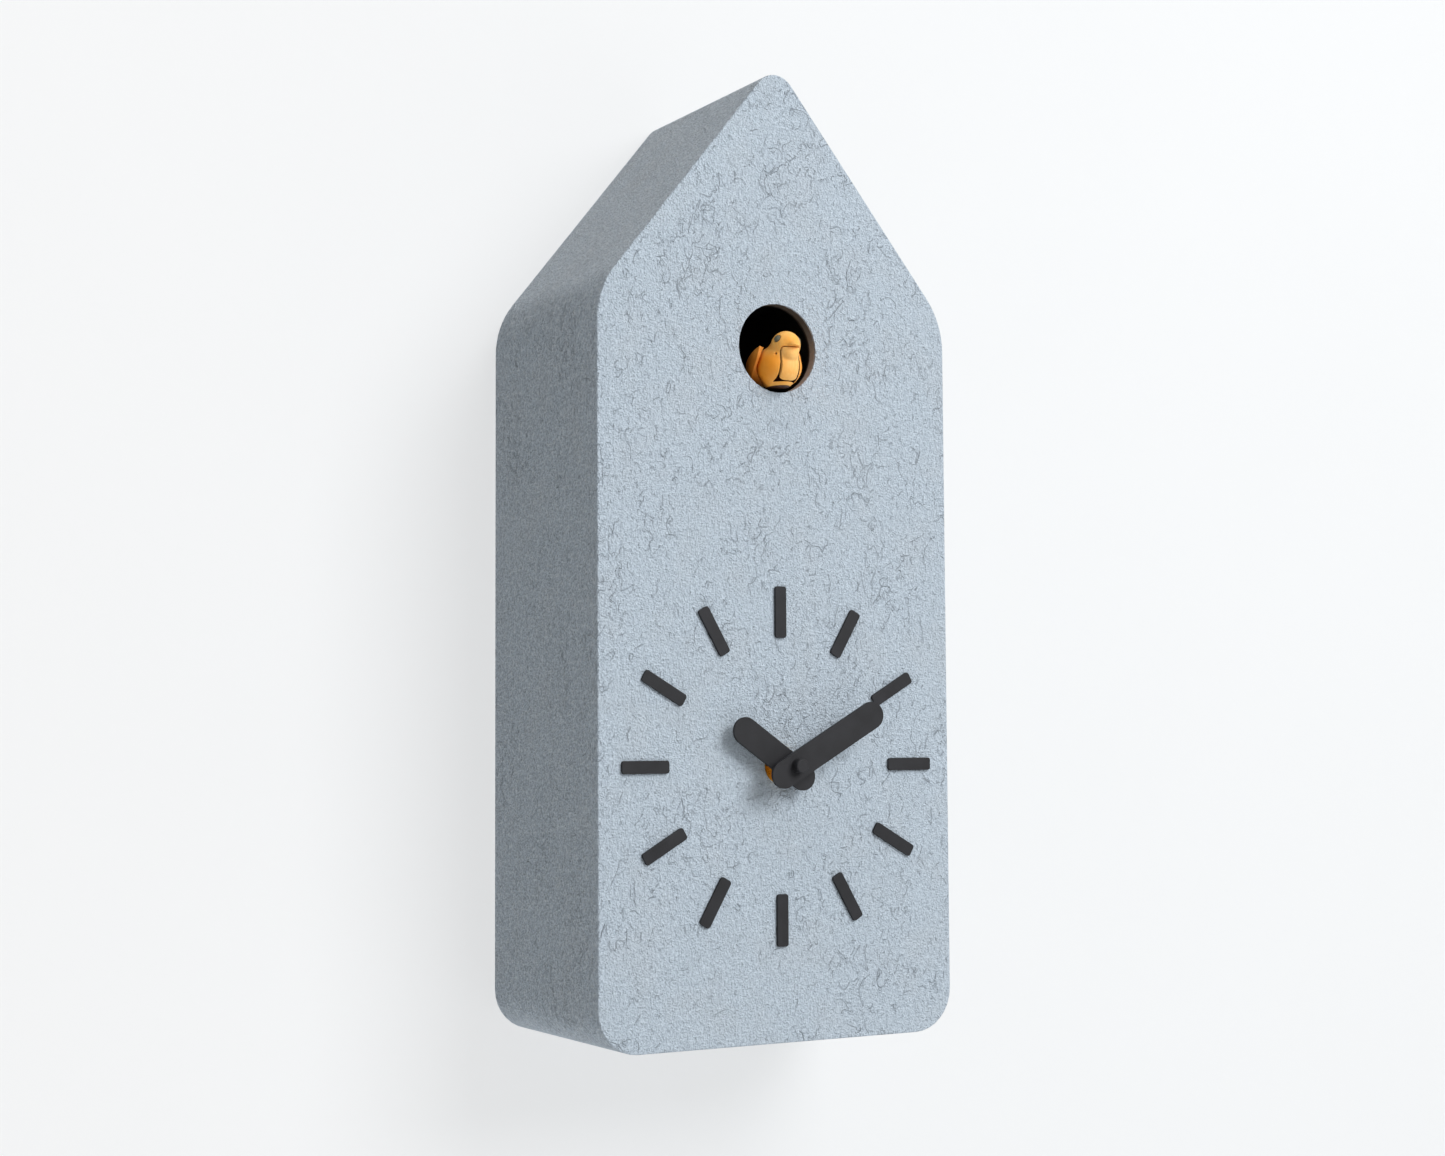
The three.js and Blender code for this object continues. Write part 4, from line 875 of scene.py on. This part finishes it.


# dyed wood with fine upright grain, with painted shade low on the flanks, in the throat's pocket and under the
# foot
def woodFinish(name):
    v, own = woodValues, woodValues[name]
    finish = Finish(name, v["roughness"][0], specular=v["specular"])
    hole = places["holeCentre"].z
    foot = hole - birdValues["footDrop"] * mm
    lines = finish.grain(finish.mapped((1.0, 1.0, 0.08)), 1500.0)
    cloud = finish.grain(finish.place(), 130.0, 2.0, 0.5)
    sidePaintedShading = finish.ramp(abs(finish.axis(0)), *v["flank"])
    lowShade = 1 - finish.ramp(finish.axis(2), *(hole - drop for drop in v["flankDrop"]))
    tone = finish.mix(finish.ramp(lines * 0.45 + cloud * 0.55, 0.3, 0.7), own["middle"], own["pale"])
    # painted shade: the deeper tone low on the flanks, where the body turns away from the light
    tone = finish.mix(sidePaintedShading * lowShade * v["flankShare"], tone, own["deep"])
    if "pocket" in own:
        # painted shade in the pocket behind the throat plate
        tone = finish.mix(pocketShade(finish), tone, own["pocket"])
    # painted shade on the flat underside of the foot, which faces down and away from the light
    footShadeMask = 1 - finish.ramp(finish.axis(2), *(foot + rise for rise in v["footRise"]))
    finish.colour(finish.mix(footShadeMask, tone, v["underFoot"]))
    finish.roughness(finish.ramp(lines, 0.3, 0.7, *v["roughness"]))
    finish.bump(lines, v["relief"])
    return finish.material


# the body with its head and upper beak, the throat's pocket, and bores for the eyes, pin and push rod
def makeBody():
    v, throat = birdValues, throatValues
    mouth = -v["mouthDrop"]
    foot = mouth - throat["length"]
    half = throat["halfWidth"]
    pocket = boxForm((-half, throat["back"], foot), (half, v["hookForward"], mouth))
    for vert in pocket.verts:  # wider at its foot
        if vert.co.z < inRow(0, 0, foot / 2).z:
            vert.co.x *= throat["flare"]
    eyeRadius, eyeLength = eyeValues["radius"] + eyeValues["boreGap"], eyeValues["length"]
    rod = inRow(0, -v["rodLength"] / 2 - v["rodDepth"], birdForms["chest"]["rise"])
    form = combined(
        carvedForm((*wholeBird, "cheeks", "upperBeak")),
        ("DIFFERENCE", boxForm((-30, v["hookBack"], -40), (30, v["hookForward"] + 1, mouth - v["hookDrop"]))),
        ("DIFFERENCE", pocket),
        *(("DIFFERENCE", rodForm(eyeRadius, eyeLength, eyePlace(side))) for side in (-1, 1)),
        ("DIFFERENCE", pinForm(throat["pinRadius"] + throat["pinGap"], 20)),
        ("DIFFERENCE", rodForm(v["rodRadius"], v["rodLength"], Matrix.Translation(rod) @ alongY)))
    form = remeshed(form, v["bodyVoxel"], v["lastSmoothing"])
    shaded(form, 60)
    finished("birdBody", form, finishes["bird"], "bird", "bird", "bird_body")


# the throat plate with the lower bill, on its pin
def makeLowerBeak():
    v = throatValues
    mouth = -birdValues["mouthDrop"]
    half = v["halfWidth"] - v["gap"]
    foot, top = mouth - v["length"] + v["gap"], mouth - v["gap"]
    inner = carvedForm(wholeBird)
    bmesh.ops.translate(inner, verts=inner.verts, vec=Vector((0, v["thickness"], 0)) * mm)
    form = combined(
        carvedForm((*wholeBird, "lowerBill")),
        ("INTERSECT", boxForm((-half, v["pinForward"], foot), (half, v["forward"], top))),
        ("DIFFERENCE", inner),
        ("UNION", pinForm(v["bossRadius"], 2 * half - 0.2)),
        ("DIFFERENCE", pinForm(v["pinRadius"] + v["pinGap"], 20)))
    form = remeshed(form, v["voxel"], birdValues["lastSmoothing"])
    shaded(form, 60)
    finished("lowerBeak", form, finishes["throat"], "beak", "bird", "lower_beak")


wingValues = {
    # from the side, as curves from point to point with a bow between
    "outline": (((0.6, 0.6), (4, -7), (-5.8, -13)), ((-5.8, -13), (-11, -14.6), (-20, -11.6)),
                ((-20, -11.6), (-9.5, -4.6), (0.6, 0.6))),
    "curvePoints": 13, "root": 3.5, "sink": 1.9, "rise": 0.3, "depth": 20,
    "gap": 0.3, "groove": 1.0, "grooveBack": -2.5, "voxel": 0.16,
}


# a wing lies on the flank as a raised plate
def makeWing(name, side):
    v = wingValues
    prism = bmesh.new()
    corners = []
    for start, bow, end in v["outline"]:
        start, bow, end = (Vector((0, forward, rise)) for forward, rise in (start, bow, end))
        corners += interpolate_bezier(start, start.lerp(bow, 2 / 3), end.lerp(bow, 2 / 3), end,
                                      v["curvePoints"])[:-1]
    face = prism.faces.new([prism.verts.new(inRow(side * v["root"], corner.y, corner.z - v["sink"]))
                            for corner in corners])
    pushed = bmesh.ops.extrude_face_region(prism, geom=[face])
    bmesh.ops.translate(prism, verts=[g for g in pushed["geom"] if isinstance(g, bmesh.types.BMVert)],
                        vec=Vector((side, 0, v["rise"])) * v["depth"] * mm)
    bmesh.ops.recalc_face_normals(prism, faces=prism.faces)
    groove = combined(grown(carvedForm(wholeBird), v["groove"]),
                      ("INTERSECT", boxForm((-30, v["grooveBack"], -30), (30, 30, 30))))
    form = combined(
        remeshed(ellipsoidForm(["wing"]), birdValues["voxel"], birdValues["lastSmoothing"]),
        ("INTERSECT", prism),
        ("DIFFERENCE", grown(carvedForm(wholeBird), v["gap"])),
        ("DIFFERENCE", groove))
    form = remeshed(form, v["voxel"], birdValues["lastSmoothing"])
    shaded(form, 60)
    finished(name + "Wing", form, finishes["wing"], "bird", "wing", name + "_wing")


# a dull bead with a ring round it, let into the head
def makeEye(name, side):
    v = eyeValues
    outline = [(radius, v["proud"] - drop) for radius, drop in v["bead"]]
    outline += [(v["radius"], 0), (v["radius"], v["proud"] - v["length"]), (0, v["proud"] - v["length"])]
    form = spunForm(outline, 40, eyePlace(side))
    shaded(form, 40)
    finished(name + "Eye", form, finishes["eye"], "bird", "eye", name + "_eye")


finishes.update(bird=woodFinish("birdWood"), wing=woodFinish("wingWood"), throat=woodFinish("throatWood"))
sides = {"left": -1, "right": 1}
makeBody()
makeLowerBeak()
for name, side in sides.items():
    makeWing(name, side)
for name, side in sides.items():
    makeEye(name, side)
print("bird made")


# nodes that show in a finish other than their slot's
# the bird's frame is near-black: black plastic, darkened further as painted shade in the opening
nodeFinishes = {"front_panel": "cutEdge", "bird_frame": "dark", "beak_pin": "pin"}

for node, piece in frame["nodes"].items():
    if piece.hide_render:
        continue
    piece.data.materials.clear()
    piece.data.materials.append(finishes[nodeFinishes.get(node, slotOfNode[node])])
print("nodes finished")


def stageObject(name, form, material):
    piece = objectFrom(name, form)
    piece.data.materials.append(material)
    return piece


floorValues = {
    "height": cadBox[0][2] - 0.45, "radius": 6.0, "pale": linear("e6e7e8"), "deep": linear("dfe1e2"),
    "roughness": 0.9,
}


def makeFloor():
    v = floorValues
    form = bmesh.new()
    bmesh.ops.create_circle(form, cap_ends=True, segments=96, radius=v["radius"])
    bmesh.ops.translate(form, verts=form.verts, vec=(0, 0, v["height"]))
    finish = Finish("floor", v["roughness"])
    finish.colour(finish.mix(finish.grain(finish.place(), 6.0, 3.0, 0.55), v["deep"], v["pale"]))
    stageObject("floor", form, finish.material)


wallValues = {
    "place": 0.0006, "half": 3.0, "pale": linear("8f9091"), "deep": linear("8b8c8d"), "roughness": 0.95,
    "glow": 0.635, "glowSpan": (-0.6, 0.3),
    "glowLeft": (1.0, 1.0, 1.0, 1), "glowRight": (0.95, 0.965, 0.975, 1),
}


# the wall is seen from the front only, and neither blocks nor bounces light
def makeWall():
    v = wallValues
    form = bmesh.new()
    bmesh.ops.create_grid(form, x_segments=1, y_segments=1, size=v["half"])
    stand = Matrix.Translation((0, v["place"], floorValues["height"] + v["half"]))
    bmesh.ops.transform(form, matrix=stand @ alongY, verts=form.verts)
    finish = Finish("wall", v["roughness"])
    finish.colour(finish.mix(finish.grain(finish.place(), 5.0, 3.0, 0.55), v["deep"], v["pale"]))
    glow = finish.mix(finish.ramp(finish.axis(0), *v["glowSpan"]), v["glowLeft"], v["glowRight"])
    finish.plug(glow, finish.shader.inputs["Emission Color"])
    finish.plug(v["glow"], finish.shader.inputs["Emission Strength"])
    rear = finish.node("ShaderNodeNewGeometry", out="Backfacing")
    solid = Wire(finish, finish.shader.outputs[0])
    clear = finish.node("ShaderNodeBsdfTransparent")
    shown = finish.node("ShaderNodeMixShader", {}, {0: rear, 1: solid, 2: clear})
    finish.plug(shown, finish.tree.nodes["Material Output"].inputs["Surface"])
    wall = stageObject("wall", form, finish.material)
    wall.visible_shadow = False
    wall.visible_diffuse = False
    wall.visible_glossy = False
    wall.visible_transmission = False


lightValues = {
    "aim": Vector((0, -0.05, -0.15)),
    "lamps": {
        "key": {"place": (0.7, -1.86, 0.9), "size": 1.25, "power": 41.0, "colour": (0.985, 0.995, 1.0)},
        "top": {"place": (-0.3, -0.5, 1.9), "size": 1.4, "power": 9.5, "colour": (1.0, 0.99, 0.97)},
        "rear": {"place": (0.6, 1.7, 0.6), "size": 1.2, "power": 30.0, "colour": (1.0, 1.0, 1.0)},
    },
    "roomColour": (1.0, 0.985, 0.965, 1), "roomStrength": 0.3,
}


def makeLight():
    v = lightValues
    for name, values in v["lamps"].items():
        data = bpy.data.lights.new(name, "AREA")
        data.size = values["size"]
        data.energy = values["power"]
        data.color = values["colour"]
        lamp = bpy.data.objects.new(name, data)
        lamp.location = values["place"]
        lamp.rotation_euler = (v["aim"] - lamp.location).to_track_quat("-Z", "Y").to_euler()
        bpy.context.scene.collection.objects.link(lamp)
    world = bpy.data.worlds.new("studio")
    world.use_nodes = True
    background = world.node_tree.nodes["Background"]
    background.inputs["Color"].default_value = v["roomColour"]
    background.inputs["Strength"].default_value = v["roomStrength"]
    bpy.context.scene.world = world


makeFloor()
makeWall()
makeLight()
bpy.context.scene.view_settings.view_transform = "Standard"
print("floor, wall and light placed")
